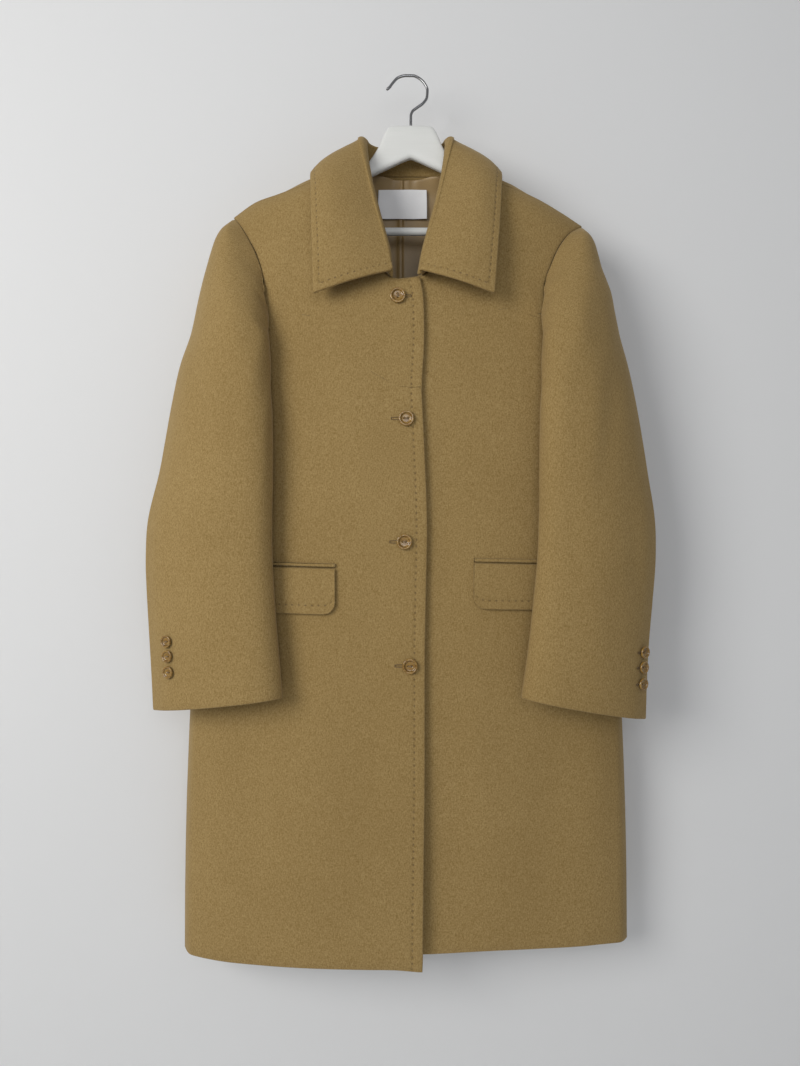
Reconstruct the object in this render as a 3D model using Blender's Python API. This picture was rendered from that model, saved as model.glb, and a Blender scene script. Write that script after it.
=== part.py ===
"""Single-breasted wool overcoat hanging on a flat wooden hanger, in metres.

The front faces -Y, +Z is up and the wearer's right is -X. The origin is the inner top of the
hanger's hook. The coat is one shell over (x, h), where h runs over the shoulder: negative down
the front, positive down the back. Panels are patches of that shell with walls of real thickness.
"""

import math

import bpy
import numpy as np

for old in list(bpy.data.objects):
    bpy.data.objects.remove(old, do_unlink=True)

MM = 0.001
CLOTH = 3.0 * MM
COLLAR_WALL = 4.4 * MM
FLAP_WALL = 3.6 * MM
SEAM_TRIM = 0.15 * MM
LEAST_SPREAD = 0.32
NECK_TRIM = 0.5 * MM
COLLAR_TRIM = 2.4 * MM
SLEEVE_TRIM = 0.6 * MM
UNDERARM_TRIM = 3.5 * MM
UNDERARM_THIN = 0.55
THIN_COLUMNS = 4
UNDERARM_TRIM_ROWS = 3.0
SLEEVE_TOP_TRIM = 1.6 * MM
SHOULDER_ROLL = 45.0 * MM
CREST_DEPTH = 1.0 * MM
SIDE_DEPTH = 12.0 * MM
ROLL_ARC = SHOULDER_ROLL * math.pi / 2
UNDERARM_Z = -335.0 * MM

NECK_COLUMNS = 7
SHOULDER_COLUMNS = 5
ARMHOLE_ROWS = 10
SIDE_ROWS = 9
TUBE_ROWS = 10
TOP_COLUMNS = 15
UNDER_COLUMNS = 8
SEAM_REACH = 0.24
SLEEVE_TOP = 0.035
UNDERARM_BULGE = 2.0
FIXED_SHARE = 0.5
FIXED_COLUMNS = 9
START_CROWD = 1.4
ANGLE_REACH = 0.32
FULL_ANGLE = 320
SHARED_ARMHOLE_ROWS = 4
BODY_SHIFT = 4.5 * MM
BODY_GAP = 7.5 * MM
CLEAR_SHARE = 0.95
CLEAR_SLOPE = 1.2

# x, z of the highest line over the shoulders, from the wearer's right to the left
CREST = np.array([
    (-240, -199), (-218, -179), (-190, -159), (-166, -150), (-118, -133), (-72, -115), (0, -100),
    (72, -116), (120, -136), (146, -145), (176, -160), (208, -180), (223, -190), (245, -208),
]) * MM
# z, half width of the body
HALF_WIDTH = np.array([
    (-60, 226), (-190, 236), (-335, 250), (-500, 262), (-700, 271), (-800, 276), (-900, 280),
    (-1000, 282.5), (-1150, 283.5),
]) * MM
# z, depth at the centre of the wearer's right front, left front and back
DEPTHS = np.array([
    (-60, -26, -26, 32), (-116, -36, -35, 34), (-200, -45, -43, 39), (-270, -52, -46, 42),
    (-400, -56, -49, 45), (-600, -57, -49, 46), (-800, -53, -43, 45), (-1000, -49, -34, 43),
    (-1150, -47, -30, 41),
]) * MM
PROFILE_POWER = 2.4
TOP_FADE = 4.0

# |x| of the shoulder seam and how far its height lies under the crest, in front of it
SHOULDER_SEAM = np.array([(72, 15), (118, 12), (166, 9), (200, 4), (218, 0.5), (224, 0.4)]) * MM
# |x|, z of the front neckline from the collar's end to the shoulder seam
FRONT_NECKS = {
    "right": np.array([
        (16, -271), (29, -258), (44, -233), (56, -201), (65, -168), (72, -143), (75.5, -130.5),
    ]) * MM,
    "left": np.array([
        (18, -266), (30, -254), (44, -232), (56, -201), (65, -168), (72, -143), (75.5, -130.5),
    ]) * MM,
}
# share of the way, |x| and h of the back neckline from the shoulder seam to the centre
BACK_NECK = np.array([
    (0, 75.5, -36), (150, 75.5, -20), (300, 74, 0), (500, 66, 19), (750, 38, 34), (1000, 0, 39),
]) * MM
# share of the way, |x| and z of the armholes from shoulder point to underarm
ARMHOLES = {
    "right": (
        np.array([
            (0, 218.4, -179.8), (250, 199, -208), (500, 180, -250), (700, 174, -284),
            (800, 181, -311), (900, 207, -329), (1000, 250, -335),
        ]) * MM,
        np.array([
            (0, 218.4, -179.8), (250, 210, -204), (500, 204, -243), (700, 205, -279),
            (800, 212, -300), (900, 227, -319), (1000, 250, -335),
        ]) * MM,
    ),
    "left": (
        np.array([
            (0, 223.5, -190.8), (250, 198, -212), (500, 178, -250), (700, 169.5, -284),
            (800, 178, -312), (900, 206, -329), (1000, 250, -335),
        ]) * MM,
        np.array([
            (0, 223.5, -190.8), (250, 211, -212), (500, 204, -247), (700, 205, -281),
            (800, 212, -301), (900, 227, -319), (1000, 250, -335),
        ]) * MM,
    ),
}
# z, x of the edge of each front: the wearer's right laps over the left
FRONT_EDGES = {
    "right": np.array([
        (-270, 16.5), (-296, 21), (-340, 22), (-405, 19), (-440, 18.6), (-480, 22), (-545, 25.4),
        (-590, 25), (-740, 22.6), (-860, 22.6), (-980, 21.4), (-1115, 20),
    ]) * MM,
    "left": np.array([(-271, -22), (-700, -22), (-1115, -24)]) * MM,
}
# |x|, z of each hem
HEMS = {
    "right": np.array([(-25, -1112), (0, -1108.5), (120, -1108), (240, -1109), (284, -1111)]) * MM,
    "left": np.array([(-25, -1098), (20, -1097.5), (120, -1094), (240, -1095), (284, -1099)]) * MM,
}

# Along each sleeve: station, inner edge x, y, z, outer edge x, y, z, bulge front, bulge back,
# lift of the front, and the angles in degrees where the ring starts and ends. Station 1 is the
# underarm, the last is the cuff; angle 0 is the inner edge, 90 the front, 180 the outer edge.
SLEEVES = {
    "right": np.array([
        (0.0, 217, 0, -180, 219, 4, -181, 1, 1, 0, 90, 270),
        (0.25, 203, -4, -204, 237, 3, -204, 26, 27, 0, 70, 285),
        (0.5, 185, -12, -248, 250, 0, -246, 41, 40, 0, 30, 300),
        (0.7, 172, -25, -285, 258, -4, -281, 46, 44, 0, 0, 303),
        (0.8, 169, -40, -310, 263, -5, -303, 46, 34, 0, -43, 287),
        (0.9, 167, -50, -331, 267, -6, -322, 45, 24, 0, -82, 266),
        (1.0, 165, -56, -346, 271, -7, -338, 44, 12, 0, -131, 229),
        (1.25, 163, -60, -385, 284, -9, -380, 42, 9, 0, -95, 265),
        (1.5, 161.5, -63, -425, 292, -12, -424, 41, 9, 0, -62, 298),
        (2.0, 159.5, -66, -500, 305, -14, -498, 40, 9, 0, -42, 318),
        (2.5, 160.5, -66, -584, 323, -16, -586, 38, 8, 0, -34, 326),
        (3.0, 157.5, -67, -655, 321, -19, -650, 37, 8, 1, -32, 328),
        (3.5, 152, -68, -722, 315.5, -22, -728, 36, 9, 2, -32, 328),
        (4.0, 147.5, -69, -774, 311.5, -24, -797, 36, 10, 2, -32, 328),
    ]),
    "left": np.array([
        (0.0, 222, 0, -191, 224, 4, -192, 1, 1, 0, 90, 270),
        (0.25, 203, -4, -210, 236, 3, -212, 26, 27, 0, 70, 285),
        (0.5, 183, -12, -250, 246, 0, -250, 41, 40, 0, 30, 300),
        (0.7, 168, -25, -284, 257, -4, -282, 46, 44, 0, 0, 303),
        (0.8, 166, -40, -310, 261, -5, -303, 46, 34, 0, -43, 287),
        (0.9, 165, -50, -331, 265, -6, -322, 45, 24, 0, -82, 266),
        (1.0, 164, -56, -346, 268, -7, -337, 44, 12, 0, -131, 229),
        (1.25, 162.5, -60, -385, 279, -9, -382, 42, 9, 0, -95, 265),
        (1.5, 161, -63, -425, 287, -12, -426, 41, 9, 0, -62, 298),
        (2.0, 159, -66, -500, 299, -14, -500, 40, 9, 0, -42, 318),
        (2.5, 157.8, -66, -584, 310, -16, -586, 38, 8, 0, -34, 326),
        (3.0, 152, -67, -655, 305, -19, -660, 37, 8, 1, -32, 328),
        (3.5, 144.5, -68, -722, 298, -22, -735, 36, 9, 2, -32, 328),
        (4.0, 136.5, -69, -774, 294.7, -25, -808, 36, 10, 2, -32, 328),
    ]),
}
# station, share round the ring where the outer seam lies
OUTER_SEAM = np.array([(0.8, 0.985), (1.0, 0.90), (1.25, 0.78), (1.5, 0.70), (2.0, 0.62), (2.5, 0.60), (4.0, 0.59)])
UNDER_START = 8
# station, distance in mm that the sleeve stands in front of the body's armhole edge
SEAM_LAPS = np.array([(0, 0), (0.3, 0), (0.4, 2.0), (0.65, 2.4), (0.8, 6.0), (0.9, 14.5), (1.0, 8.5)])
# station, distance in mm that the under sleeve stands beside the back's armhole edge
BACK_LAPS = np.array([(0, 0), (0.7, 0), (0.8, 5.0), (0.9, 6.2), (1.0, 3.0)])
UNDERARM_GAP = (6.0, -2.0, 5.5)

# Along the collar from centre back to its front end, one row at each point of the neckline:
# |x|, y, z of the stand's top, |x|, y, z of the outer edge, the angle in degrees its outside
# faces (0 the back, 90 the side, 180 the front) and how far the fall swells
COLLAR = np.array([
    (0, 27, -84, 0, 50, -168, 0, 3),
    (20, 26, -84, 34, 49, -168, 15, 3),
    (38, 21, -83.5, 66, 46, -166, 35, 3),
    (48, 12, -82.5, 96, 45, -160, 60, 5),
    (51, 3, -82, 115, 22, -133, 85, 7),
    (51.5, -7, -87, 118, 0, -125, 105, 8),
    (50.5, -17, -101, 118, -25, -136, 125, 9),
    (47.5, -27, -128, 116, -44, -160, 145, 9),
    (42.5, -37, -160, 114.5, -54, -188, 155, 9),
    (36.5, -45, -190, 113, -62, -217, 160, 9),
    (30, -51, -217, 111.5, -67, -245, 165, 8),
    (23.5, -56, -245, 110.5, -71, -272, 170, 7),
    (17.5, -60, -268, 109.5, -74, -297, 175, 6),
])
# how far each collar tip leans in towards the middle
COLLAR_TIPS = {"right": -0.5 * MM, "left": 5.5 * MM}
FOLD_RADIUS = 4.6 * MM
FOLD_STEPS = 4
FALL_STEPS = 5


def smooth(knots, values, at):
    """Monotone cubic through the knots, for one column or several of values."""
    knots = np.asarray(knots, float)
    values = np.asarray(values, float)
    flat = values.ndim == 1
    if flat:
        values = values[:, None]
    if knots[0] > knots[-1]:
        knots, values = knots[::-1], values[::-1]
    at = np.clip(np.asarray(at, float), knots[0], knots[-1])
    step = np.diff(knots)[:, None]
    slope = np.diff(values, axis=0) / step
    inner = np.where(
        slope[:-1] * slope[1:] > 0,
        2 * slope[:-1] * slope[1:] / np.where(slope[:-1] + slope[1:] == 0, 1, slope[:-1] + slope[1:]),
        0,
    )
    tangent = np.concatenate([slope[:1], inner, slope[-1:]])
    cell = np.clip(np.searchsorted(knots, at, side="right") - 1, 0, len(knots) - 2)
    share = ((at - knots[cell]) / step[cell, 0])[..., None]
    low, high = values[cell], values[cell + 1]
    width = step[cell]
    bend = share * share * (3 - 2 * share)
    result = (
        low + (high - low) * bend
        + width * tangent[cell] * share * (1 - share) ** 2
        - width * tangent[cell + 1] * share * share * (1 - share)
    )
    return result[..., 0] if flat else result


def crest(x):
    return smooth(CREST[:, 0], CREST[:, 1], x)


def height_to_h(x, z):
    """How far over the shell the height z lies from the crest."""
    drop = np.maximum(crest(x) - z, 0)
    roll = SHOULDER_ROLL * np.arccos(np.clip(1 - drop / SHOULDER_ROLL, 0, 1))
    return np.where(drop < SHOULDER_ROLL, roll, ROLL_ARC + drop - SHOULDER_ROLL)


def shell(x, h, layer):
    """Point of the coat's middle surface: layer 1 is the right half, 2 the left; h >= 0 is the back."""
    x = np.asarray(x, float)
    h = np.asarray(h, float)
    over = np.abs(h)
    angle = np.minimum(over / SHOULDER_ROLL, math.pi / 2)
    z = crest(x) - SHOULDER_ROLL * (1 - np.cos(angle)) - np.maximum(over - ROLL_ARC, 0)
    depths = smooth(DEPTHS[:, 0], DEPTHS[:, 1:], z)
    front = np.where(layer == 1, depths[..., 0], depths[..., 1])
    centre = np.where(h < 0, front, depths[..., 2])
    share = np.clip(np.abs(x) / smooth(HALF_WIDTH[:, 0], HALF_WIDTH[:, 1], z), 0, 1)
    swell = np.sqrt(np.clip(1 - share ** PROFILE_POWER, 0, 1))
    full = SIDE_DEPTH + (centre - SIDE_DEPTH) * swell
    y = CREST_DEPTH + (full - CREST_DEPTH) * np.sin(angle)
    return np.stack([x, y, z], axis=-1)


def unrolled(x, h, behind):
    """Height of the shell unrolled about its crest, so that a patch can be blended in it."""
    z = shell(x, h, 2)[..., 2]
    return np.where((h < 0) & behind, 2 * crest(x) - z, z)


def rolled(x, height, behind):
    """The h of an unrolled height."""
    top = crest(x)
    mirrored = behind & (height > top)
    h = height_to_h(x, np.where(mirrored, 2 * top - height, height))
    return np.where(mirrored | (not behind), -h, h)


def patch(top, bottom, left, right, rise, sign, behind, layer):
    """Shell points between four edges of (x, h); rise is the share of bottom in each row."""
    edges = [
        np.stack([edge[:, 0], unrolled(sign * edge[:, 0], edge[:, 1], behind)], -1)
        for edge in (top, bottom, left, right)
    ]
    plane = coons(*edges, rise)
    h = rolled(sign * plane[..., 0], plane[..., 1], behind)
    return shell(sign * plane[..., 0], h, layer)


def coons(top, bottom, left, right, rise):
    """Patch between four sampled edges; rise is the share of bottom in each row."""
    across = np.linspace(0, 1, len(top))[None, :, None]
    down = rise[:, None, None]
    ends = (1 - down) * top[None] + down * bottom[None]
    left_off = left - ((1 - rise)[:, None] * top[0] + rise[:, None] * bottom[0])
    right_off = right - ((1 - rise)[:, None] * top[-1] + rise[:, None] * bottom[-1])
    return ends + (1 - across) * left_off[:, None] + across * right_off[:, None]


def normals_of(grid):
    """Unit normals of a grid of points, rows down and columns across."""
    down = np.gradient(grid, axis=0)
    across = np.gradient(grid, axis=1)
    normal = np.cross(down, across)
    return normal / np.maximum(np.linalg.norm(normal, axis=-1, keepdims=True), 1e-12)


def unit(vector):
    return vector / np.maximum(np.linalg.norm(vector, axis=-1, keepdims=True), 1e-12)


def trimmed(grid, amount=SEAM_TRIM, top=SEAM_TRIM):
    """The grid with each edge drawn back along its own surface, the first row by top."""
    result = grid.copy()
    result[0] += top * unit(grid[1] - grid[0])
    result[-1] += np.ravel(amount)[-1] * unit(grid[-2] - grid[-1])
    result[:, 0] += amount * unit(grid[:, 1] - grid[:, 0])
    result[:, -1] += amount * unit(grid[:, -2] - grid[:, -1])
    return result


def add_object(name, points, faces, slot):
    mesh = bpy.data.meshes.new(name)
    mesh.from_pydata(points.tolist(), [], faces)
    mesh.update()
    mesh.polygons.foreach_set("use_smooth", [True] * len(mesh.polygons))
    mesh.materials.append(slot)
    made = bpy.data.objects.new(name, mesh)
    bpy.context.scene.collection.objects.link(made)
    return made


def wall(name, grid, normal, thickness, slot):
    """A closed wall with its middle on the grid; normals point outward."""
    rows, columns = grid.shape[:2]
    outer = grid + normal * thickness / 2
    inner = grid - normal * thickness / 2
    points = np.concatenate([outer.reshape(-1, 3), inner.reshape(-1, 3)])
    index = np.arange(rows * columns).reshape(rows, columns)
    back = index + rows * columns
    faces = []
    a, b, c, d = index[:-1, :-1], index[1:, :-1], index[1:, 1:], index[:-1, 1:]
    faces += np.stack([a, b, c, d], -1).reshape(-1, 4).tolist()
    a, b, c, d = back[:-1, :-1], back[:-1, 1:], back[1:, 1:], back[1:, :-1]
    faces += np.stack([a, b, c, d], -1).reshape(-1, 4).tolist()
    rim = np.concatenate([index[0, :-1], index[:-1, -1], index[-1, :0:-1], index[:0:-1, 0]])
    after = np.roll(rim, -1)
    shift = rows * columns
    faces += np.stack([rim, after, after + shift, rim + shift], -1).tolist()
    if (normals_of(grid) * normal).sum() < 0:
        faces = [face[::-1] for face in faces]
    return add_object(name, points, faces, slot)


def paint(name, colour, roughness, metallic=0.0):
    made = bpy.data.materials.new(name)
    made.use_nodes = True
    shader = made.node_tree.nodes["Principled BSDF"]
    shader.inputs["Base Color"].default_value = (*colour, 1.0)
    shader.inputs["Roughness"].default_value = roughness
    shader.inputs["Metallic"].default_value = metallic
    return made


wool = paint("wool", (0.29, 0.19, 0.08), 0.95)
satin = paint("lining_satin", (0.19, 0.10, 0.04), 0.45)
white_satin = paint("label_satin", (0.75, 0.75, 0.75), 0.5)
horn = paint("button_horn", (0.42, 0.22, 0.06), 0.3)
white_paint = paint("white_paint", (0.78, 0.79, 0.77), 0.4)
steel = paint("hook_steel", (0.6, 0.6, 0.62), 0.3, 1.0)


# ---- body edges, shared by the panels and the sleeves ----
arm_rows = np.linspace(0, 1, ARMHOLE_ROWS + 1)
side_z = UNDERARM_Z


def side_line(side):
    """(x, z) of the side seam from the underarm to the hem."""
    hem_z = HEMS[side][-1, 1]
    z = side_z + (hem_z - side_z) * np.linspace(0, 1, SIDE_ROWS + 1)[1:]
    return np.stack([smooth(HALF_WIDTH[:, 0], HALF_WIDTH[:, 1], z), z], -1)


def outer_edge(side, which):
    """|x|, h of armhole and side seam; which 0 is the front, 1 the back."""
    sign = -1 if side == "right" else 1
    table = ARMHOLES[side][which]
    arm = smooth(table[:, 0], table[:, 1:], arm_rows)
    line = np.concatenate([arm, side_line(side)])
    h = height_to_h(sign * line[:, 0], line[:, 1])
    return np.stack([line[:, 0], -h if which == 0 else h], -1)


def row_shares(sign, edge):
    """Share of the height at each row of an outer edge."""
    z = shell(sign * edge[:, 0], edge[:, 1], 2)[:, 2]
    return (z - z[0]) / (z[-1] - z[0])


def shoulder_edge(side, share):
    """|x|, h along the shoulder seam, from the neck (0) to the shoulder point (1)."""
    sign = -1 if side == "right" else 1
    neck, tip = FRONT_NECKS[side][-1], ARMHOLES[side][0][0, 1:]
    x = neck[0] + (tip[0] - neck[0]) * share
    seam_x = np.array([neck[0], tip[0]])
    seam_z = crest(sign * seam_x) - smooth(SHOULDER_SEAM[:, 0], SHOULDER_SEAM[:, 1], seam_x)
    z = crest(sign * x) - smooth(SHOULDER_SEAM[:, 0], SHOULDER_SEAM[:, 1], x)
    z = z + (neck[1] - seam_z[0]) * (1 - share) ** 3 + (tip[1] - seam_z[1]) * share ** 3
    return np.stack([x, -height_to_h(sign * x, z)], -1)


def front_neck_edge(side, share):
    """|x|, h along the front neckline, from the collar's end (0) to the shoulder seam (1)."""
    sign = -1 if side == "right" else 1
    table = FRONT_NECKS[side]
    arc = np.concatenate([[0], np.cumsum(np.linalg.norm(np.diff(table, axis=0), axis=1))])
    line = smooth(arc / arc[-1], table, share)
    return np.stack([line[:, 0], -height_to_h(sign * line[:, 0], line[:, 1])], -1)


def front_panel(side):
    """Grid of points of one front."""
    sign = -1 if side == "right" else 1
    layer = 1 if side == "right" else 2
    edge_table = FRONT_EDGES[side]
    hem = HEMS[side]
    top_z = edge_table[0, 0]
    start = sign * smooth(edge_table[:, 0], edge_table[:, 1], top_z)
    neck = front_neck_edge(side, np.linspace(0, 1, NECK_COLUMNS))
    shoulder = shoulder_edge(side, np.linspace(0, 1, SHOULDER_COLUMNS + 1))[1:]
    first = np.array([[start, -height_to_h(sign * start, top_z)]])
    top = np.concatenate([first, neck, shoulder])
    columns = len(top)
    share = np.linspace(0, 1, columns)
    right = outer_edge(side, 0)
    down = row_shares(sign, right)
    hem_edge = sign * smooth(edge_table[:, 0], edge_table[:, 1], hem[0, 1])
    hem_x = hem_edge + (right[-1, 0] - hem_edge) * (0.35 * share + 0.65 * np.sin(share * math.pi / 2))
    hem_h = -height_to_h(sign * hem_x, smooth(hem[:, 0], hem[:, 1], hem_x))
    bottom = np.stack([hem_x, hem_h], -1)
    left_z = top_z + (hem[0, 1] - top_z) * down
    left_x = sign * smooth(edge_table[:, 0], edge_table[:, 1], left_z)
    left = np.stack([left_x, -height_to_h(sign * left_x, left_z)], -1)
    left[0] = top[0]
    left[-1] = bottom[0]
    bottom[-1] = right[-1]
    right[0] = top[-1]
    rise = 1 - (1 - down) ** TOP_FADE
    return patch(top, bottom, left, right, rise, sign, False, layer)


def back_panel():
    """Grid of points of the back, from the wearer's right to the left."""
    halves = []
    for side, sign in (("right", -1), ("left", 1)):
        neck_share = np.linspace(0, 1, NECK_COLUMNS)
        neck = smooth(BACK_NECK[:, 0] / BACK_NECK[-1, 0], BACK_NECK[:, 1:], neck_share)
        shoulder = shoulder_edge(side, np.linspace(1, 0, SHOULDER_COLUMNS + 1))
        neck[0] = shoulder[-1]
        top = np.concatenate([shoulder, neck[1:]])
        share = np.linspace(0, 1, len(top))
        outer = outer_edge(side, 1)
        hem_z = HEMS[side][-1, 1]
        middle_z = (HEMS["right"][-1, 1] + HEMS["left"][-1, 1]) / 2
        hem_x = outer[-1, 0] * (1 - (0.35 * share + 0.65 * (1 - np.cos(share * math.pi / 2))))
        z = middle_z + (hem_z - middle_z) * hem_x / outer[-1, 0]
        bottom = np.stack([hem_x, height_to_h(sign * hem_x, z)], -1)
        down = row_shares(sign, outer)
        centre_h = top[-1, 1] + (bottom[-1, 1] - top[-1, 1]) * down
        centre = np.stack([np.zeros(len(down)), centre_h], -1)
        outer[0] = top[0]
        bottom[0] = outer[-1]
        rise = 1 - (1 - down) ** TOP_FADE
        layer = 1 if side == "right" else 2
        halves.append(patch(top, bottom, outer, centre, rise, sign, True, layer))
    return np.concatenate([halves[0], halves[1][:, -2::-1]], axis=1)


fronts = {side: front_panel(side) for side in ("right", "left")}
back = back_panel()
outer_column = NECK_COLUMNS + SHOULDER_COLUMNS


def share_seam(first, first_edge, second, second_edge, turn=1):
    """Gives two panels the same wall direction where they meet."""
    both = unit(first[first_edge] + turn * second[second_edge])
    spread = np.clip((both * unit(first[first_edge])).sum(-1, keepdims=True), LEAST_SPREAD, 1)
    first[first_edge] = both / spread
    second[second_edge] = turn * both / spread


def ring_points(table, station, angle, sign):
    """Points of the plain sleeve at each station and angle, before it meets the armhole."""
    row = smooth(table[:, 0], table[:, 1:], station)[:, None]
    across = (1 - np.cos(angle)) / 2
    rise = np.sin(angle)
    behind = np.where((angle < 0) & (station[:, None] <= 1), UNDERARM_BULGE, row[..., 7])
    bulge = np.where(rise > 0, row[..., 6], -behind)
    x = row[..., 0] + (row[..., 3] - row[..., 0]) * across
    y = row[..., 1] + (row[..., 4] - row[..., 1]) * across - np.abs(rise) * bulge
    z = row[..., 2] + (row[..., 5] - row[..., 2]) * across + rise * row[..., 8]
    return np.stack([sign * x, y, z], -1) * MM


def sleeve_panel(side, which):
    """Grid of points of one sleeve panel; which 0 is the top sleeve, 1 the under sleeve."""
    sign = -1 if side == "right" else 1
    layer = 1 if side == "right" else 2
    table = SLEEVES[side]
    tube = 1 + 3 * np.linspace(0, 1, TUBE_ROWS + 1)[1:] ** 1.15
    station = np.concatenate([arm_rows, tube])
    station[0] = SLEEVE_TOP
    split = smooth(OUTER_SEAM[:, 0], OUTER_SEAM[:, 1], station)[:, None]
    if which == 0:
        split[:UNDER_START] = 1
        front_share = FIXED_SHARE * np.linspace(0, 1, FIXED_COLUMNS + 1)[None] ** START_CROWD
        outer_share = np.linspace(0, 1, TOP_COLUMNS - FIXED_COLUMNS + 1)[1:]
        share = np.concatenate([
            np.repeat(front_share, len(station), axis=0),
            FIXED_SHARE + (split - FIXED_SHARE) * outer_share,
        ], axis=1)
    else:
        station, split = station[UNDER_START:], split[UNDER_START:]
        share = split + (1 - split) * np.linspace(0, 1, UNDER_COLUMNS + 1)
    limits = np.radians(smooth(table[:, 0], table[:, 10:], station))
    low = np.clip(1 - share / ANGLE_REACH, 0, 1)
    high = np.clip(1 - (1 - share) / ANGLE_REACH, 0, 1)
    full = math.radians(FULL_ANGLE)
    angle = full * share + limits[:, :1] * low + (limits[:, 1:] - full) * high
    ring = ring_points(table, station, angle, sign)
    rows = ARMHOLE_ROWS + 1 - (UNDER_START if which else 0)
    lap = np.interp(station[:rows], SEAM_LAPS[:, 0], SEAM_LAPS[:, 1])[:, None] * MM
    aside = np.interp(station[:rows], BACK_LAPS[:, 0], BACK_LAPS[:, 1])[:, None] * MM
    for arm in (0, 1):
        edge = outer_edge(side, arm)[: ARMHOLE_ROWS + 1]
        target = shell(sign * edge[:, 0], edge[:, 1], layer)
        target[0] += SLEEVE_TOP / arm_rows[1] * (target[1] - target[0])
        target[-1] += np.array(UNDERARM_GAP) * (sign, 1, 1) * MM
        target = target[ARMHOLE_ROWS + 1 - rows:]
        target += lap * (1 - arm) * np.array([0, -1, 0]) + aside * arm * np.array([sign, 0, 0])
        found = ring_points(table, station[:rows], limits[:rows, arm:arm + 1], sign)[:, 0]
        near = share[:rows] if arm == 0 else 1 - share[:rows]
        reach = np.clip(1 - near / SEAM_REACH, 0, 1) ** 3
        ring[:rows] += reach[..., None] * (target - found)[:, None]
    reach_x = CLEAR_SHARE * smooth(HALF_WIDTH[:, 0], HALF_WIDTH[:, 1], ring[..., 2])
    past = np.maximum(np.abs(ring[..., 0]) - reach_x, 0)
    inward = (np.abs(ring[..., 0]) - past - BODY_SHIFT) * sign
    before = shell(inward, -height_to_h(inward, ring[..., 2]), layer)[..., 1]
    before = before - BODY_GAP + CLEAR_SLOPE * past
    behind = (angle < 0) | ((angle > math.pi) & (station[:, None] > 1))
    ring[..., 1] = np.where(behind, np.minimum(ring[..., 1], before), ring[..., 1])
    return ring


def collar_grid():
    """Grid of points of the collar, from the wearer's right front end round to the left."""
    halves = []
    for side, sign in (("right", -1), ("left", 1)):
        layer = 1 if side == "right" else 2
        neck_back = smooth(BACK_NECK[:, 0] / BACK_NECK[-1, 0], BACK_NECK[:, 1:], neck_shares)
        neck_back[0] = shoulder_edge(side, np.array([0.0]))[0]
        neck_front = front_neck_edge(side, neck_shares)
        edge = np.concatenate([neck_back[::-1], neck_front[-2::-1]])
        neck = shell(sign * edge[:, 0], edge[:, 1], layer)
        turn = np.array([sign, 1, 1]) * MM
        fold, outer = COLLAR[:, :3] * turn, COLLAR[:, 3:6] * turn
        outer[:, 0] -= sign * COLLAR_TIPS[side] * np.linspace(-1, 1, len(COLLAR)).clip(0) ** 1.5
        facing = np.radians(COLLAR[:, 6])
        out = np.stack([sign * np.sin(facing), np.cos(facing), np.zeros(len(facing))], -1)
        up = fold - neck
        up = unit(up - (up * out).sum(-1, keepdims=True) * out)
        centre = fold + FOLD_RADIUS * out
        path = [neck, (neck + fold) / 2, fold]
        for step in range(1, FOLD_STEPS + 1):
            turned = math.pi * step / FOLD_STEPS
            path.append(centre + FOLD_RADIUS * (up * math.sin(turned) - out * math.cos(turned)))
        start = path[-1]
        for step in range(1, FALL_STEPS + 1):
            share = step / FALL_STEPS
            swell = COLLAR[:, 7:8] * MM * math.sin(share * math.pi)
            path.append(start + (outer - start) * share + swell * out)
        halves.append(np.stack(path))
    return np.concatenate([halves[0][:, ::-1], halves[1][:, 1:]], axis=1)


neck_shares = np.linspace(0, 1, NECK_COLUMNS)
collar = collar_grid()
sleeves = {(side, which): sleeve_panel(side, which) for side in ("right", "left") for which in (0, 1)}

# ---- wall directions, shared along each seam ----
directions = {}
for side in ("right", "left"):
    directions[side] = normals_of(fronts[side])
    directions[side] *= -np.sign(directions[side][..., 1].sum())
directions["back"] = normals_of(back)
directions["back"] *= np.sign(directions["back"][..., 1].sum())
directions["collar"] = normals_of(collar)
directions["collar"] *= np.sign((directions["collar"][-2] * (collar[-2] - collar[1])).sum())
for (side, which), grid in sleeves.items():
    centre = np.concatenate([sleeves[side, 0][-3], sleeves[side, 1][-3]]).mean(axis=0)
    direction = normals_of(grid)
    direction *= np.sign((direction[-3] * (grid[-3] - centre)).sum())
    directions[side, which] = direction

shoulder_columns = slice(outer_column, outer_column - SHOULDER_COLUMNS - 1, -1)
side_rows = slice(ARMHOLE_ROWS, None)
last = back.shape[1] - 1
for side in ("right", "left"):
    column = 0 if side == "right" else -1
    share_seam(directions[side], (side_rows, -1), directions["back"], (side_rows, column))
    if side == "right":
        shoulder_back = slice(0, SHOULDER_COLUMNS + 1)
    else:
        shoulder_back = slice(last, last - SHOULDER_COLUMNS - 1, -1)
    share_seam(directions[side], (0, shoulder_columns), directions["back"], (0, shoulder_back))
    top, under = directions[side, 0], directions[side, 1]
    share_seam(top, (slice(UNDER_START, None), -1), under, (slice(None), 0))
    tube = slice(ARMHOLE_ROWS, None)
    top[ARMHOLE_ROWS, 0] = top[ARMHOLE_ROWS + 1, 0]
    under[ARMHOLE_ROWS - UNDER_START, -1] = under[ARMHOLE_ROWS + 1 - UNDER_START, -1]
    share_seam(top, (tube, 0), under, (slice(ARMHOLE_ROWS - UNDER_START, None), -1))
    top[ARMHOLE_ROWS, -THIN_COLUMNS:] *= UNDERARM_THIN
    under[ARMHOLE_ROWS - UNDER_START, :THIN_COLUMNS] *= UNDERARM_THIN
    upper = slice(1, SHARED_ARMHOLE_ROWS)
    share_seam(top, (upper, 0), directions[side], (upper, -1))
    upper = slice(1, UNDER_START)
    share_seam(top, (upper, -1), directions["back"], (upper, column))
    top[UNDER_START, -1] = under[0, -1]
    under[0] = under[0, -1]
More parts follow.
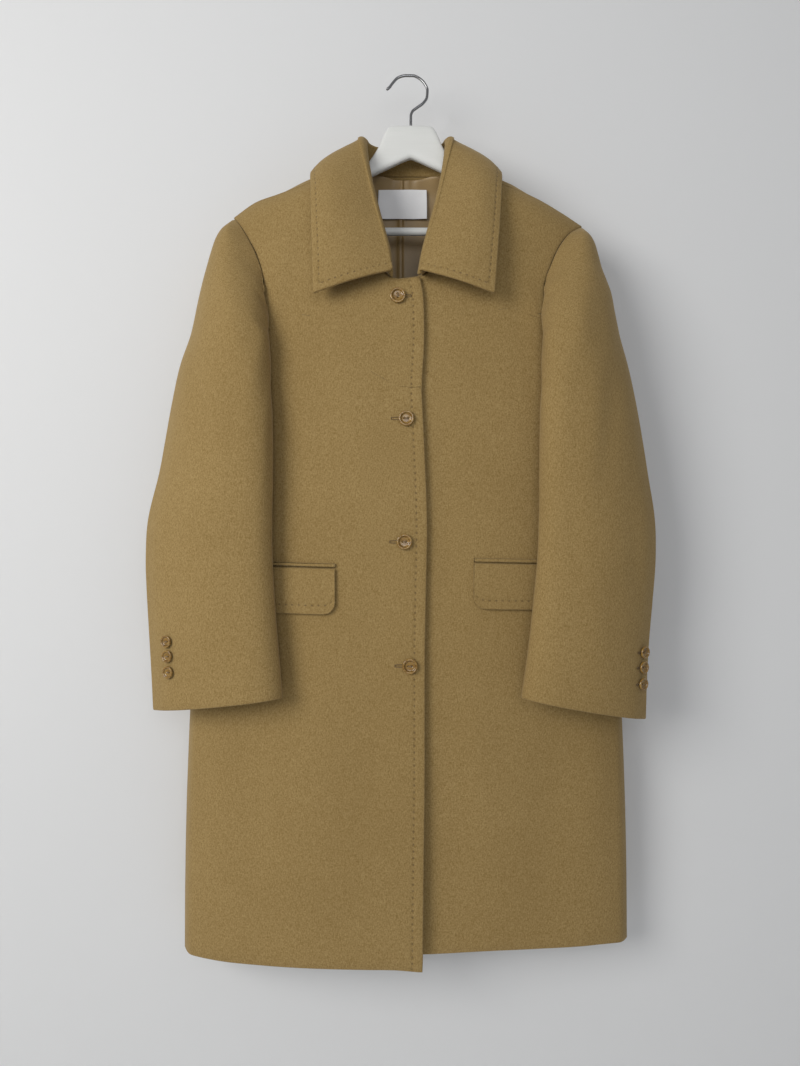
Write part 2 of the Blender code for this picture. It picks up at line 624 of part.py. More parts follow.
middle = collar.shape[1] // 2
neck_on_back = slice(SHOULDER_COLUMNS, last - SHOULDER_COLUMNS + 1)
share_seam(
    directions["collar"], (0, slice(middle - NECK_COLUMNS + 1, middle + NECK_COLUMNS)),
    directions["back"], (0, neck_on_back), turn=-1,
)
share_seam(
    directions["collar"], (0, slice(0, NECK_COLUMNS)),
    directions["right"], (0, slice(1, NECK_COLUMNS + 1)), turn=-1,
)
share_seam(
    directions["collar"], (0, slice(collar.shape[1] - 1, collar.shape[1] - NECK_COLUMNS - 1, -1)),
    directions["left"], (0, slice(1, NECK_COLUMNS + 1)), turn=-1,
)

wall("front_right", trimmed(fronts["right"], top=NECK_TRIM), directions["right"], CLOTH, wool)
wall("front_left", trimmed(fronts["left"], top=NECK_TRIM), directions["left"], CLOTH, wool)
wall("back", trimmed(back), directions["back"], CLOTH, wool)
wall("collar", trimmed(collar, top=COLLAR_TRIM), directions["collar"], COLLAR_WALL, wool)
for (side, which), grid in sleeves.items():
    name = "sleeve_" + side + ("_under" if which else "_top")
    from_underarm = np.abs(np.arange(len(grid)) - ARMHOLE_ROWS + (UNDER_START if which else 0))
    nearness = np.clip(1 - from_underarm / UNDERARM_TRIM_ROWS, 0, 1)
    amount = (SLEEVE_TRIM + (UNDERARM_TRIM - SLEEVE_TRIM) * np.sqrt(nearness))[:, None]
    wall(name, trimmed(grid, amount, SLEEVE_TOP_TRIM), directions[side, which], CLOTH, wool)

# ---- lining and label, inside the upper back ----
# h of the top and bottom rows, |x| of each, how far inside the back the lining hangs
LINING_X = np.array([-88, -66, -44, -24, -13, -9, -5.5, -2, 8, 26, 46, 67, 88]) * MM
LINING_TOP = np.array([24, 27, 33, 41, 43.5, 44, 44, 44, 43.5, 41, 33, 27, 24]) * MM
PLEAT = np.array([0, 0, 0, 0, 0.4, 2.0, 2.2, 0.2, 0, 0, 0, 0, 0]) * MM
LINING_BOTTOM = -352.0 * MM
LINING_GAP = 6.0 * MM
LINING_WALL = 1.2 * MM
LINING_ROWS = 9
LABEL_X = np.linspace(-36.3, 27.6, 7) * MM
LABEL_Z = np.array([-131.5, -144, -157, -169.5]) * MM
LABEL_WALL = 0.9 * MM
LABEL_GAP = 10.8 * MM

bottom_h = height_to_h(LINING_X, np.full(len(LINING_X), LINING_BOTTOM))
share = np.linspace(0, 1, LINING_ROWS + 1)[:, None]
lining_h = LINING_TOP + (bottom_h - LINING_TOP) * share
lining_x = LINING_X * (0.72 + 0.28 * np.minimum(share * 3, 1))
lining = shell(lining_x, lining_h, 2)
lining_direction = normals_of(lining)
lining_direction *= -np.sign(lining_direction[..., 1].sum())
inside = (LINING_GAP + PLEAT)[None, :, None] * np.ones((LINING_ROWS + 1, 1, 1))
lining = lining + lining_direction * inside
wall("lining_back", lining, lining_direction, LINING_WALL, satin)

label_x, label_z = np.meshgrid(LABEL_X, LABEL_Z)
label = shell(label_x, height_to_h(label_x, label_z), 2)
label_direction = normals_of(label)
label_direction *= -np.sign(label_direction[..., 1].sum())
wall("label", label + label_direction * LABEL_GAP, label_direction, LABEL_WALL, white_satin)

# ---- pockets, lying on the fronts ----
POCKETS = {"right": (-85, -240, -611.5, -615.5), "left": (81, 236, -612.5, -609.0)}
WELT_HEIGHT = 5.2 * MM
WELT_WALL = 2.6 * MM
FLAP_HEIGHT = 55.5 * MM
FLAP_CORNER = 15.0 * MM
FLAP_LIFT = 1.2 * MM
PIECE_GAP = 0.6 * MM
flap_share = np.array([0, 0.006, 0.022, 0.065, 0.18, 0.32, 0.5, 0.68, 0.82, 0.935, 0.978, 0.994, 1])
SIDES = {"right": (-1, 1), "left": (1, 2)}


def laid_on(side, x, z, thickness, lift=0.0):
    """Grid of points lying on a front, and the direction it faces."""
    layer = SIDES[side][1]
    base = shell(x, -height_to_h(x, z), layer)
    facing = normals_of(base)
    facing *= -np.sign(facing[..., 1].sum())
    away = CLOTH / 2 + PIECE_GAP + thickness / 2 + lift
    return base + facing * away, facing


for side, (inner_x, outer_x, outer_z, inner_z) in POCKETS.items():
    x = (inner_x + (outer_x - inner_x) * flap_share) * MM
    top_z = (inner_z + (outer_z - inner_z) * flap_share) * MM
    rows = np.linspace(0, 1, 3)[:, None]
    grid, facing = laid_on(side, x * np.ones((3, 1)), top_z - WELT_HEIGHT * rows, WELT_WALL)
    wall("pocket_welt_" + side, grid, facing, WELT_WALL, wool)
    edge = np.minimum(flap_share, 1 - flap_share) * abs(outer_x - inner_x) * MM
    short = FLAP_CORNER - np.sqrt(np.maximum(FLAP_CORNER ** 2 - np.maximum(FLAP_CORNER - edge, 0) ** 2, 0))
    rows = np.linspace(0, 1, 6)[:, None]
    z = top_z - WELT_HEIGHT - 2 * PIECE_GAP - (FLAP_HEIGHT - short) * rows
    lift = (FLAP_LIFT * rows * np.ones_like(z))[..., None]
    grid, facing = laid_on(side, x * np.ones_like(z), z, FLAP_WALL, lift)
    wall("flap_" + side, grid, facing, FLAP_WALL, wool)

# ---- buttons: radius and height of the section from the back's centre to the front's ----
BUTTON = np.array([(0, 0), (0.75, 0), (0.97, 0.3), (1.0, 0.7), (0.92, 1.0), (0.74, 0.95), (0.6, 0.62), (0, 0.55)])
BUTTON_STEPS = 20
FRONT_BUTTON = (9.4 * MM, 3.6 * MM)
CUFF_BUTTON = (7.5 * MM, 2.8 * MM)
BUTTON_GAP = 0.8 * MM
CUFF_BUTTON_GAP = 2.0 * MM
CUFF_BUTTON_TILT = 0.25
FRONT_BUTTONS = np.array([(-10.3, -294), (0.0, -441.7), (-2.4, -589.6), (4.4, -738.5)]) * MM
# station of each cuff button, and the angle round the sleeve where the row of buttons runs
CUFF_BUTTONS = {"right": ((3.385, 3.505, 3.645), 127), "left": ((3.435, 3.56, 3.70), 146)}


def button(name, centre, facing, size):
    radius, height = size
    facing = facing / np.linalg.norm(facing)
    side_way = np.cross(facing, (0, 0, 1.0))
    side_way /= np.linalg.norm(side_way)
    up = np.cross(side_way, facing)
    turn = np.arange(BUTTON_STEPS) / BUTTON_STEPS * 2 * math.pi
    ring = np.cos(turn)[:, None] * side_way + np.sin(turn)[:, None] * up
    points = [centre[None]]
    for share, level in BUTTON[1:-1]:
        points.append(centre + ring * share * radius + facing * level * height)
    points.append((centre + facing * BUTTON[-1, 1] * height)[None])
    count = len(BUTTON) - 2
    faces = []
    for step in range(BUTTON_STEPS):
        after = (step + 1) % BUTTON_STEPS
        faces.append((0, 1 + step, 1 + after))
        for level in range(count - 1):
            low, high = 1 + level * BUTTON_STEPS, 1 + (level + 1) * BUTTON_STEPS
            faces.append((low + step, high + step, high + after, low + after))
        low = 1 + (count - 1) * BUTTON_STEPS
        faces.append((low + step, 1 + count * BUTTON_STEPS, low + after))
    add_object(name, np.concatenate(points), faces, horn)


for number, (x, z) in enumerate(FRONT_BUTTONS, 1):
    x_grid, z_grid = np.meshgrid([x - MM, x, x + MM], [z + MM, z, z - MM])
    spot, facing = laid_on("right", x_grid, z_grid, 0.0, BUTTON_GAP)
    button(f"front_button_{number}", spot[1, 1], facing[1, 1], FRONT_BUTTON)

for side, (stations, angle) in CUFF_BUTTONS.items():
    sign = SIDES[side][0]
    for number, station in enumerate(stations, 1):
        around = np.radians([angle - 2.0, angle, angle + 2.0])[None] * np.ones((3, 1))
        along = np.array([station - 0.02, station, station + 0.02])
        spot = ring_points(SLEEVES[side], along, around, sign)
        facing = normals_of(spot)[1, 1]
        facing *= np.sign((facing * (sign, -0.5, 0)).sum())
        centre = spot[1, 1] + facing * (CLOTH / 2 + CUFF_BUTTON_GAP)
        facing = facing + (0, -CUFF_BUTTON_TILT, 0)
        button(f"cuff_button_{side}_{number}", centre, facing, CUFF_BUTTON)

# ---- hanger ----
HANGER_X = 6.0
HANGER_THICKNESS = 13.0
HANGER_DEPTH = 0.0
# distance from the middle, top and bottom of the hanger's arm, in mm
HANGER_ARM = np.array([
    (0, -62.7, -104), (14, -62.9, -110), (26, -64, -115.5), (30, -67, -117.3), (34, -75, -119.2),
    (40, -89, -122), (48, -102, -125.8), (56, -113, -130), (70, -125, -138), (90, -136, -148),
    (115, -148, -159), (140, -159, -169), (155, -166, -176), (157, -167.5, -203),
    (168, -173.5, -204), (176, -179, -200), (181, -183, -192),
])
HANGER_RING = 12
HANGER_POWER = 0.55
BAR_Z = -196.5
BAR_RADIUS = 5.0
BAR_HALF = 155.6
WIRE_RADIUS = 1.75
WIRE_STEPS = 10


def lofted(name, rings, slot):
    """A closed body through rings of equal length, with flat ends."""
    rings = np.asarray(rings)
    count, size = rings.shape[:2]
    index = np.arange(count * size).reshape(count, size)
    after = np.roll(index, -1, axis=1)
    faces = np.stack([index[:-1], after[:-1], after[1:], index[1:]], -1).reshape(-1, 4).tolist()
    faces.append(index[0, ::-1].tolist())
    faces.append(index[-1].tolist())
    return add_object(name, rings.reshape(-1, 3), faces, slot)


turn = np.arange(HANGER_RING) / HANGER_RING * 2 * math.pi
round_y = np.sign(np.cos(turn)) * np.abs(np.cos(turn)) ** HANGER_POWER
round_z = np.sign(np.sin(turn)) * np.abs(np.sin(turn)) ** HANGER_POWER
arm = np.concatenate([HANGER_ARM[:0:-1] * (-1, 1, 1), HANGER_ARM])
rings = []
for x, top_z, bottom_z in arm:
    rings.append(np.stack([
        np.full(HANGER_RING, HANGER_X + x),
        HANGER_DEPTH + round_y * HANGER_THICKNESS / 2,
        (top_z + bottom_z) / 2 + round_z * (top_z - bottom_z) / 2,
    ], -1) * MM)
lofted("hanger_body", rings, white_paint)

turn = np.arange(WIRE_STEPS) / WIRE_STEPS * 2 * math.pi
rings = []
for x in (-BAR_HALF, -BAR_HALF / 3, BAR_HALF / 3, BAR_HALF):
    rings.append(np.stack([
        np.full(WIRE_STEPS, HANGER_X + x),
        HANGER_DEPTH + BAR_RADIUS * np.cos(turn),
        BAR_Z + BAR_RADIUS * np.sin(turn),
    ], -1) * MM)
lofted("hanger_bar", rings, white_paint)

# x, z of the hook's wire from its tip over the top and down into the hanger, in mm
HOOK = np.array([
    (-25.0, -16.5), (-21.0, -13.2), (-16.5, -7.2), (-9.5, -0.6), (0.0, 1.75), (9.0, 1.6), (17.5, -2.2),
    (24.0, -9.0), (27.2, -17.0), (26.6, -25.5), (22.0, -33.0), (14.0, -39.0), (8.3, -43.6), (6.2, -49.5),
    (6.0, -62.2),
])
HOOK_POINTS = 40
arc = np.concatenate([[0], np.cumsum(np.linalg.norm(np.diff(HOOK, axis=0), axis=1))])
line = smooth(arc, HOOK, np.linspace(0, arc[-1], HOOK_POINTS))
along = unit(np.gradient(line, axis=0))
rings = []
for (x, z), (step_x, step_z) in zip(line, along):
    rings.append(np.stack([
        x + WIRE_RADIUS * np.cos(turn) * step_z,
        HANGER_DEPTH + WIRE_RADIUS * np.sin(turn),
        z - WIRE_RADIUS * np.cos(turn) * step_x,
    ], -1) * MM)
lofted("hook", rings, steel)
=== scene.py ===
# Wool overcoat on a wooden hanger: the looks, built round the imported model. Lengths are metres, +Z is up
# and the coat's front faces -Y. The wearer's right is -X, and the hook rests on its support at the origin.

import math

import bpy
import numpy as np
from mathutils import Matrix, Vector


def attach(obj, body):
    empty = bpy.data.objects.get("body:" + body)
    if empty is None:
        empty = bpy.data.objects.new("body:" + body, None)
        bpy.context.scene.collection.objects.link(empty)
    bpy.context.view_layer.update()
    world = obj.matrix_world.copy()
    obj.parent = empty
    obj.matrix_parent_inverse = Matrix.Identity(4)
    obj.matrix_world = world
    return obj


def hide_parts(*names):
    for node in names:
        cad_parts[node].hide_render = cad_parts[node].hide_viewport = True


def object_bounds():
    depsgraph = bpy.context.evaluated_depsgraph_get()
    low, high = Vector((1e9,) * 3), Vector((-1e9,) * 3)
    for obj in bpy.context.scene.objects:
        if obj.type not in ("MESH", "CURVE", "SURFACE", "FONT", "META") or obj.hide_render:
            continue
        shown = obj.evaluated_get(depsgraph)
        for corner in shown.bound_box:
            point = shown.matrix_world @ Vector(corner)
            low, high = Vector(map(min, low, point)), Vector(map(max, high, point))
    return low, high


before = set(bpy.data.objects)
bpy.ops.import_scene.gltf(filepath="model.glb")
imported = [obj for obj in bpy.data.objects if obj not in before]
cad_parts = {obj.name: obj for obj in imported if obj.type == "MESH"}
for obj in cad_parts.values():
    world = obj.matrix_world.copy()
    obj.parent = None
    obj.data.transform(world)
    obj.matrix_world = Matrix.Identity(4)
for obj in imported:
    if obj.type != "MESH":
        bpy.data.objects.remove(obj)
cadBox = [list(corner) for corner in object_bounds()]
print("frame loaded:", len(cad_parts), "nodes")


mm = 0.001
sideWays = {"right": (-1, 1), "left": (1, 2)}  # the x direction and shell layer of each side

form = {
    # x, z of the highest line over the shoulders, from the wearer's right to the left
    "crest": np.array([
        (-240, -199), (-218, -179), (-190, -159), (-166, -150), (-118, -133), (-72, -115), (0, -100),
        (72, -116), (120, -136), (146, -145), (176, -160), (208, -180), (223, -190), (245, -208),
    ]) * mm,
    # z, half width of the body
    "halfWidth": np.array([
        (-60, 226), (-190, 236), (-335, 250), (-500, 262), (-700, 271), (-800, 276), (-900, 280),
        (-1000, 282.5), (-1150, 283.5),
    ]) * mm,
    # z, depth at the centre of the wearer's right front, left front and back
    "depths": np.array([
        (-60, -26, -26, 32), (-116, -36, -35, 34), (-200, -45, -43, 39), (-270, -52, -46, 42),
        (-400, -56, -49, 45), (-600, -57, -49, 46), (-800, -53, -43, 45), (-1000, -49, -34, 43),
        (-1150, -47, -30, 41),
    ]) * mm,
    "profilePower": 2.4,
    "topFade": 4.0,
    "shoulderRoll": 45.0 * mm,
    "crestDepth": 1.0 * mm,
    "sideDepth": 12.0 * mm,
    "underarmZ": -335.0 * mm,
}
rollArc = form["shoulderRoll"] * math.pi / 2


# Monotone cubic through the knots, for one column or several of values.
def smooth(knots, values, at):
    knots = np.asarray(knots, float)
    values = np.asarray(values, float)
    flat = values.ndim == 1
    if flat:
        values = values[:, None]
    if knots[0] > knots[-1]:
        knots, values = knots[::-1], values[::-1]
    at = np.clip(np.asarray(at, float), knots[0], knots[-1])
    step = np.diff(knots)[:, None]
    slope = np.diff(values, axis=0) / step
    inner = np.where(
        slope[:-1] * slope[1:] > 0,
        2 * slope[:-1] * slope[1:] / np.where(slope[:-1] + slope[1:] == 0, 1, slope[:-1] + slope[1:]),
        0,
    )
    tangent = np.concatenate([slope[:1], inner, slope[-1:]])
    cell = np.clip(np.searchsorted(knots, at, side="right") - 1, 0, len(knots) - 2)
    share = ((at - knots[cell]) / step[cell, 0])[..., None]
    low, high = values[cell], values[cell + 1]
    width = step[cell]
    bend = share * share * (3 - 2 * share)
    result = (
        low + (high - low) * bend
        + width * tangent[cell] * share * (1 - share) ** 2
        - width * tangent[cell + 1] * share * share * (1 - share)
    )
    return result[..., 0] if flat else result


# Values of a table's other columns where its first column is at.
def tableAt(table, at):
    return smooth(table[:, 0], table[:, 1] if table.shape[1] == 2 else table[:, 1:], at)


# Height of the shoulder line at x.
def crest(x):
    return tableAt(form["crest"], x)


# Length run along a line of points, from 0 at its first point.
def arcOf(line):
    return np.concatenate([[0], np.cumsum(np.linalg.norm(np.diff(line, axis=0), axis=1))])


# How far over the shell the height z lies from the crest.
def heightToH(x, z):
    drop = np.maximum(crest(x) - z, 0)
    roll = form["shoulderRoll"] * np.arccos(np.clip(1 - drop / form["shoulderRoll"], 0, 1))
    return np.where(drop < form["shoulderRoll"], roll, rollArc + drop - form["shoulderRoll"])


# Point of the coat's middle surface: layer 1 is the right half, 2 the left; h >= 0 is the back.
def shell(x, h, layer):
    x = np.asarray(x, float)
    h = np.asarray(h, float)
    over = np.abs(h)
    angle = np.minimum(over / form["shoulderRoll"], math.pi / 2)
    z = crest(x) - form["shoulderRoll"] * (1 - np.cos(angle)) - np.maximum(over - rollArc, 0)
    depths = tableAt(form["depths"], z)
    front = np.where(layer == 1, depths[..., 0], depths[..., 1])
    centre = np.where(h < 0, front, depths[..., 2])
    share = np.clip(np.abs(x) / tableAt(form["halfWidth"], z), 0, 1)
    swell = np.sqrt(np.clip(1 - share ** form["profilePower"], 0, 1))
    full = form["sideDepth"] + (centre - form["sideDepth"]) * swell
    y = form["crestDepth"] + (full - form["crestDepth"]) * np.sin(angle)
    return np.stack([x, y, z], axis=-1)


# Height of the shell unrolled about its crest, so that a patch can be blended in it.
def unrolled(x, h, behind):
    z = shell(x, h, 2)[..., 2]
    return np.where((h < 0) & behind, 2 * crest(x) - z, z)


# The h of an unrolled height.
def rolled(x, height, behind):
    top = crest(x)
    mirrored = behind & (height > top)
    h = heightToH(x, np.where(mirrored, 2 * top - height, height))
    return np.where(mirrored | (not behind), -h, h)


# Shell points between four edges of (x, h); rise is the share of bottom in each row.
def patch(top, bottom, left, right, rise, sign, behind, layer):
    edges = [
        np.stack([edge[:, 0], unrolled(sign * edge[:, 0], edge[:, 1], behind)], -1)
        for edge in (top, bottom, left, right)
    ]
    plane = coons(*edges, rise)
    h = rolled(sign * plane[..., 0], plane[..., 1], behind)
    return shell(sign * plane[..., 0], h, layer)


# Patch between four sampled edges; rise is the share of bottom in each row.
def coons(top, bottom, left, right, rise):
    across = np.linspace(0, 1, len(top))[None, :, None]
    down = rise[:, None, None]
    ends = (1 - down) * top[None] + down * bottom[None]
    leftOff = left - ((1 - rise)[:, None] * top[0] + rise[:, None] * bottom[0])
    rightOff = right - ((1 - rise)[:, None] * top[-1] + rise[:, None] * bottom[-1])
    return ends + (1 - across) * leftOff[:, None] + across * rightOff[:, None]


# Unit normals of a grid of points, rows down and columns across.
def normalsOf(grid):
    down = np.gradient(grid, axis=0)
    across = np.gradient(grid, axis=1)
    normal = np.cross(down, across)
    return normal / np.maximum(np.linalg.norm(normal, axis=-1, keepdims=True), 1e-12)


# A vector over its own length.
def unit(vector):
    return vector / np.maximum(np.linalg.norm(vector, axis=-1, keepdims=True), 1e-12)


# Normals of a grid of points, all turned the way that together faces forwards.
def facingFront(grid):
    facing = normalsOf(grid)
    return facing * -np.sign(facing[..., 1].sum())


cut = {
    "cloth": 3.0 * mm,
    "leastSpread": 0.32,
    "neckColumns": 7,
    "shoulderColumns": 5,
    "armholeRows": 10,
    "sideRows": 9,
    # |x| of the shoulder seam and how far its height lies under the crest, in front of it
    "shoulderSeam": np.array([(72, 15), (118, 12), (166, 9), (200, 4), (218, 0.5), (224, 0.4)]) * mm,
    # |x|, z of the front neckline from the collar's end to the shoulder seam
    "frontNecks": {
        "right": np.array([
            (16, -271), (29, -258), (44, -233), (56, -201), (65, -168), (72, -143), (75.5, -130.5),
        ]) * mm,
        "left": np.array([
            (18, -266), (30, -254), (44, -232), (56, -201), (65, -168), (72, -143), (75.5, -130.5),
        ]) * mm,
    },
    # share of the way, |x| and h of the back neckline from the shoulder seam to the centre
    "backNeck": np.array([
        (0, 75.5, -36), (150, 75.5, -20), (300, 74, 0), (500, 66, 19), (750, 38, 34), (1000, 0, 39),
    ]) * mm,
    # share of the way, |x| and z of the armholes from shoulder point to underarm
    "armholes": {
        "right": (
            np.array([
                (0, 218.4, -179.8), (250, 199, -208), (500, 180, -250), (700, 174, -284),
                (800, 181, -311), (900, 207, -329), (1000, 250, -335),
            ]) * mm,
            np.array([
                (0, 218.4, -179.8), (250, 210, -204), (500, 204, -243), (700, 205, -279),
                (800, 212, -300), (900, 227, -319), (1000, 250, -335),
            ]) * mm,
        ),
        "left": (
            np.array([
                (0, 223.5, -190.8), (250, 198, -212), (500, 178, -250), (700, 169.5, -284),
                (800, 178, -312), (900, 206, -329), (1000, 250, -335),
            ]) * mm,
            np.array([
                (0, 223.5, -190.8), (250, 211, -212), (500, 204, -247), (700, 205, -281),
                (800, 212, -301), (900, 227, -319), (1000, 250, -335),
            ]) * mm,
        ),
    },
    # z, x of the edge of each front: the wearer's right laps over the left
    "frontEdges": {
        "right": np.array([
            (-270, 16.5), (-296, 21), (-340, 22), (-405, 19), (-440, 18.6), (-480, 22), (-545, 25.4),
            (-590, 25), (-740, 22.6), (-860, 22.6), (-980, 21.4), (-1115, 20),
        ]) * mm,
        "left": np.array([(-271, -22), (-700, -22), (-1115, -24)]) * mm,
    },
    # |x|, z of each hem
    "hems": {
        "right": np.array([(-25, -1112), (0, -1108.5), (120, -1108), (240, -1109), (284, -1111)]) * mm,
        "left": np.array([(-25, -1098), (20, -1097.5), (120, -1094), (240, -1095), (284, -1099)]) * mm,
    },
}

armholeRows, neckColumns, shoulderColumns = cut["armholeRows"], cut["neckColumns"], cut["shoulderColumns"]
armRows = np.linspace(0, 1, armholeRows + 1)
sideZ = form["underarmZ"]


# (x, z) of the side seam from the underarm to the hem.
def sideLine(side):
    hemZ = cut["hems"][side][-1, 1]
    z = sideZ + (hemZ - sideZ) * np.linspace(0, 1, cut["sideRows"] + 1)[1:]
    return np.stack([tableAt(form["halfWidth"], z), z], -1)


# |x|, h of armhole and side seam; which 0 is the front, 1 the back.
def outerEdge(side, which):
    sign = sideWays[side][0]
    arm = tableAt(cut["armholes"][side][which], armRows)
    line = np.concatenate([arm, sideLine(side)])
    h = heightToH(sign * line[:, 0], line[:, 1])
    return np.stack([line[:, 0], -h if which == 0 else h], -1)


# Share of the height at each row of an outer edge.
def rowShares(sign, edge):
    z = shell(sign * edge[:, 0], edge[:, 1], 2)[:, 2]
    return (z - z[0]) / (z[-1] - z[0])


# |x|, h along the shoulder seam, from the neck (0) to the shoulder point (1).
def shoulderEdge(side, share):
    sign = sideWays[side][0]
    neck, tip = cut["frontNecks"][side][-1], cut["armholes"][side][0][0, 1:]
    x = neck[0] + (tip[0] - neck[0]) * share
    seamX = np.array([neck[0], tip[0]])
    seamZ = crest(sign * seamX) - tableAt(cut["shoulderSeam"], seamX)
    z = crest(sign * x) - tableAt(cut["shoulderSeam"], x)
    z = z + (neck[1] - seamZ[0]) * (1 - share) ** 3 + (tip[1] - seamZ[1]) * share ** 3
    return np.stack([x, -heightToH(sign * x, z)], -1)


# |x|, h along the front neckline, from the collar's end (0) to the shoulder seam (1).
def frontNeckEdge(side, share):
    sign = sideWays[side][0]
    table = cut["frontNecks"][side]
    arc = arcOf(table)
    line = smooth(arc / arc[-1], table, share)
    return np.stack([line[:, 0], -heightToH(sign * line[:, 0], line[:, 1])], -1)


# Grid of points of one front.
def frontPanel(side):
    sign, layer = sideWays[side]
    edgeTable = cut["frontEdges"][side]
    hem = cut["hems"][side]
    topZ = edgeTable[0, 0]
    start = sign * tableAt(edgeTable, topZ)
    neck = frontNeckEdge(side, np.linspace(0, 1, neckColumns))
    shoulder = shoulderEdge(side, np.linspace(0, 1, shoulderColumns + 1))[1:]
    first = np.array([[start, -heightToH(sign * start, topZ)]])
    top = np.concatenate([first, neck, shoulder])
    columns = len(top)
    share = np.linspace(0, 1, columns)
    right = outerEdge(side, 0)
    down = rowShares(sign, right)
    hemEdge = sign * tableAt(edgeTable, hem[0, 1])
    hemX = hemEdge + (right[-1, 0] - hemEdge) * (0.35 * share + 0.65 * np.sin(share * math.pi / 2))
    hemH = -heightToH(sign * hemX, tableAt(hem, hemX))
    bottom = np.stack([hemX, hemH], -1)
    leftZ = topZ + (hem[0, 1] - topZ) * down
    leftX = sign * tableAt(edgeTable, leftZ)
    left = np.stack([leftX, -heightToH(sign * leftX, leftZ)], -1)
    left[0] = top[0]
    left[-1] = bottom[0]
    bottom[-1] = right[-1]
    right[0] = top[-1]
    rise = 1 - (1 - down) ** form["topFade"]
    return patch(top, bottom, left, right, rise, sign, False, layer)


# Grid of points of the back, from the wearer's right to the left.
def backPanel():
    halves = []
    for side, (sign, layer) in sideWays.items():
        neck = tableAt(cut["backNeck"], np.linspace(0, 1, neckColumns))
        shoulder = shoulderEdge(side, np.linspace(1, 0, shoulderColumns + 1))
        neck[0] = shoulder[-1]
        top = np.concatenate([shoulder, neck[1:]])
        share = np.linspace(0, 1, len(top))
        outer = outerEdge(side, 1)
        hemZ = cut["hems"][side][-1, 1]
        middleZ = (cut["hems"]["right"][-1, 1] + cut["hems"]["left"][-1, 1]) / 2
        hemX = outer[-1, 0] * (1 - (0.35 * share + 0.65 * (1 - np.cos(share * math.pi / 2))))
        z = middleZ + (hemZ - middleZ) * hemX / outer[-1, 0]
        bottom = np.stack([hemX, heightToH(sign * hemX, z)], -1)
        down = rowShares(sign, outer)
        centreH = top[-1, 1] + (bottom[-1, 1] - top[-1, 1]) * down
        centre = np.stack([np.zeros(len(down)), centreH], -1)
        outer[0] = top[0]
        bottom[0] = outer[-1]
        rise = 1 - (1 - down) ** form["topFade"]
        halves.append(patch(top, bottom, outer, centre, rise, sign, True, layer))
    return np.concatenate([halves[0], halves[1][:, -2::-1]], axis=1)


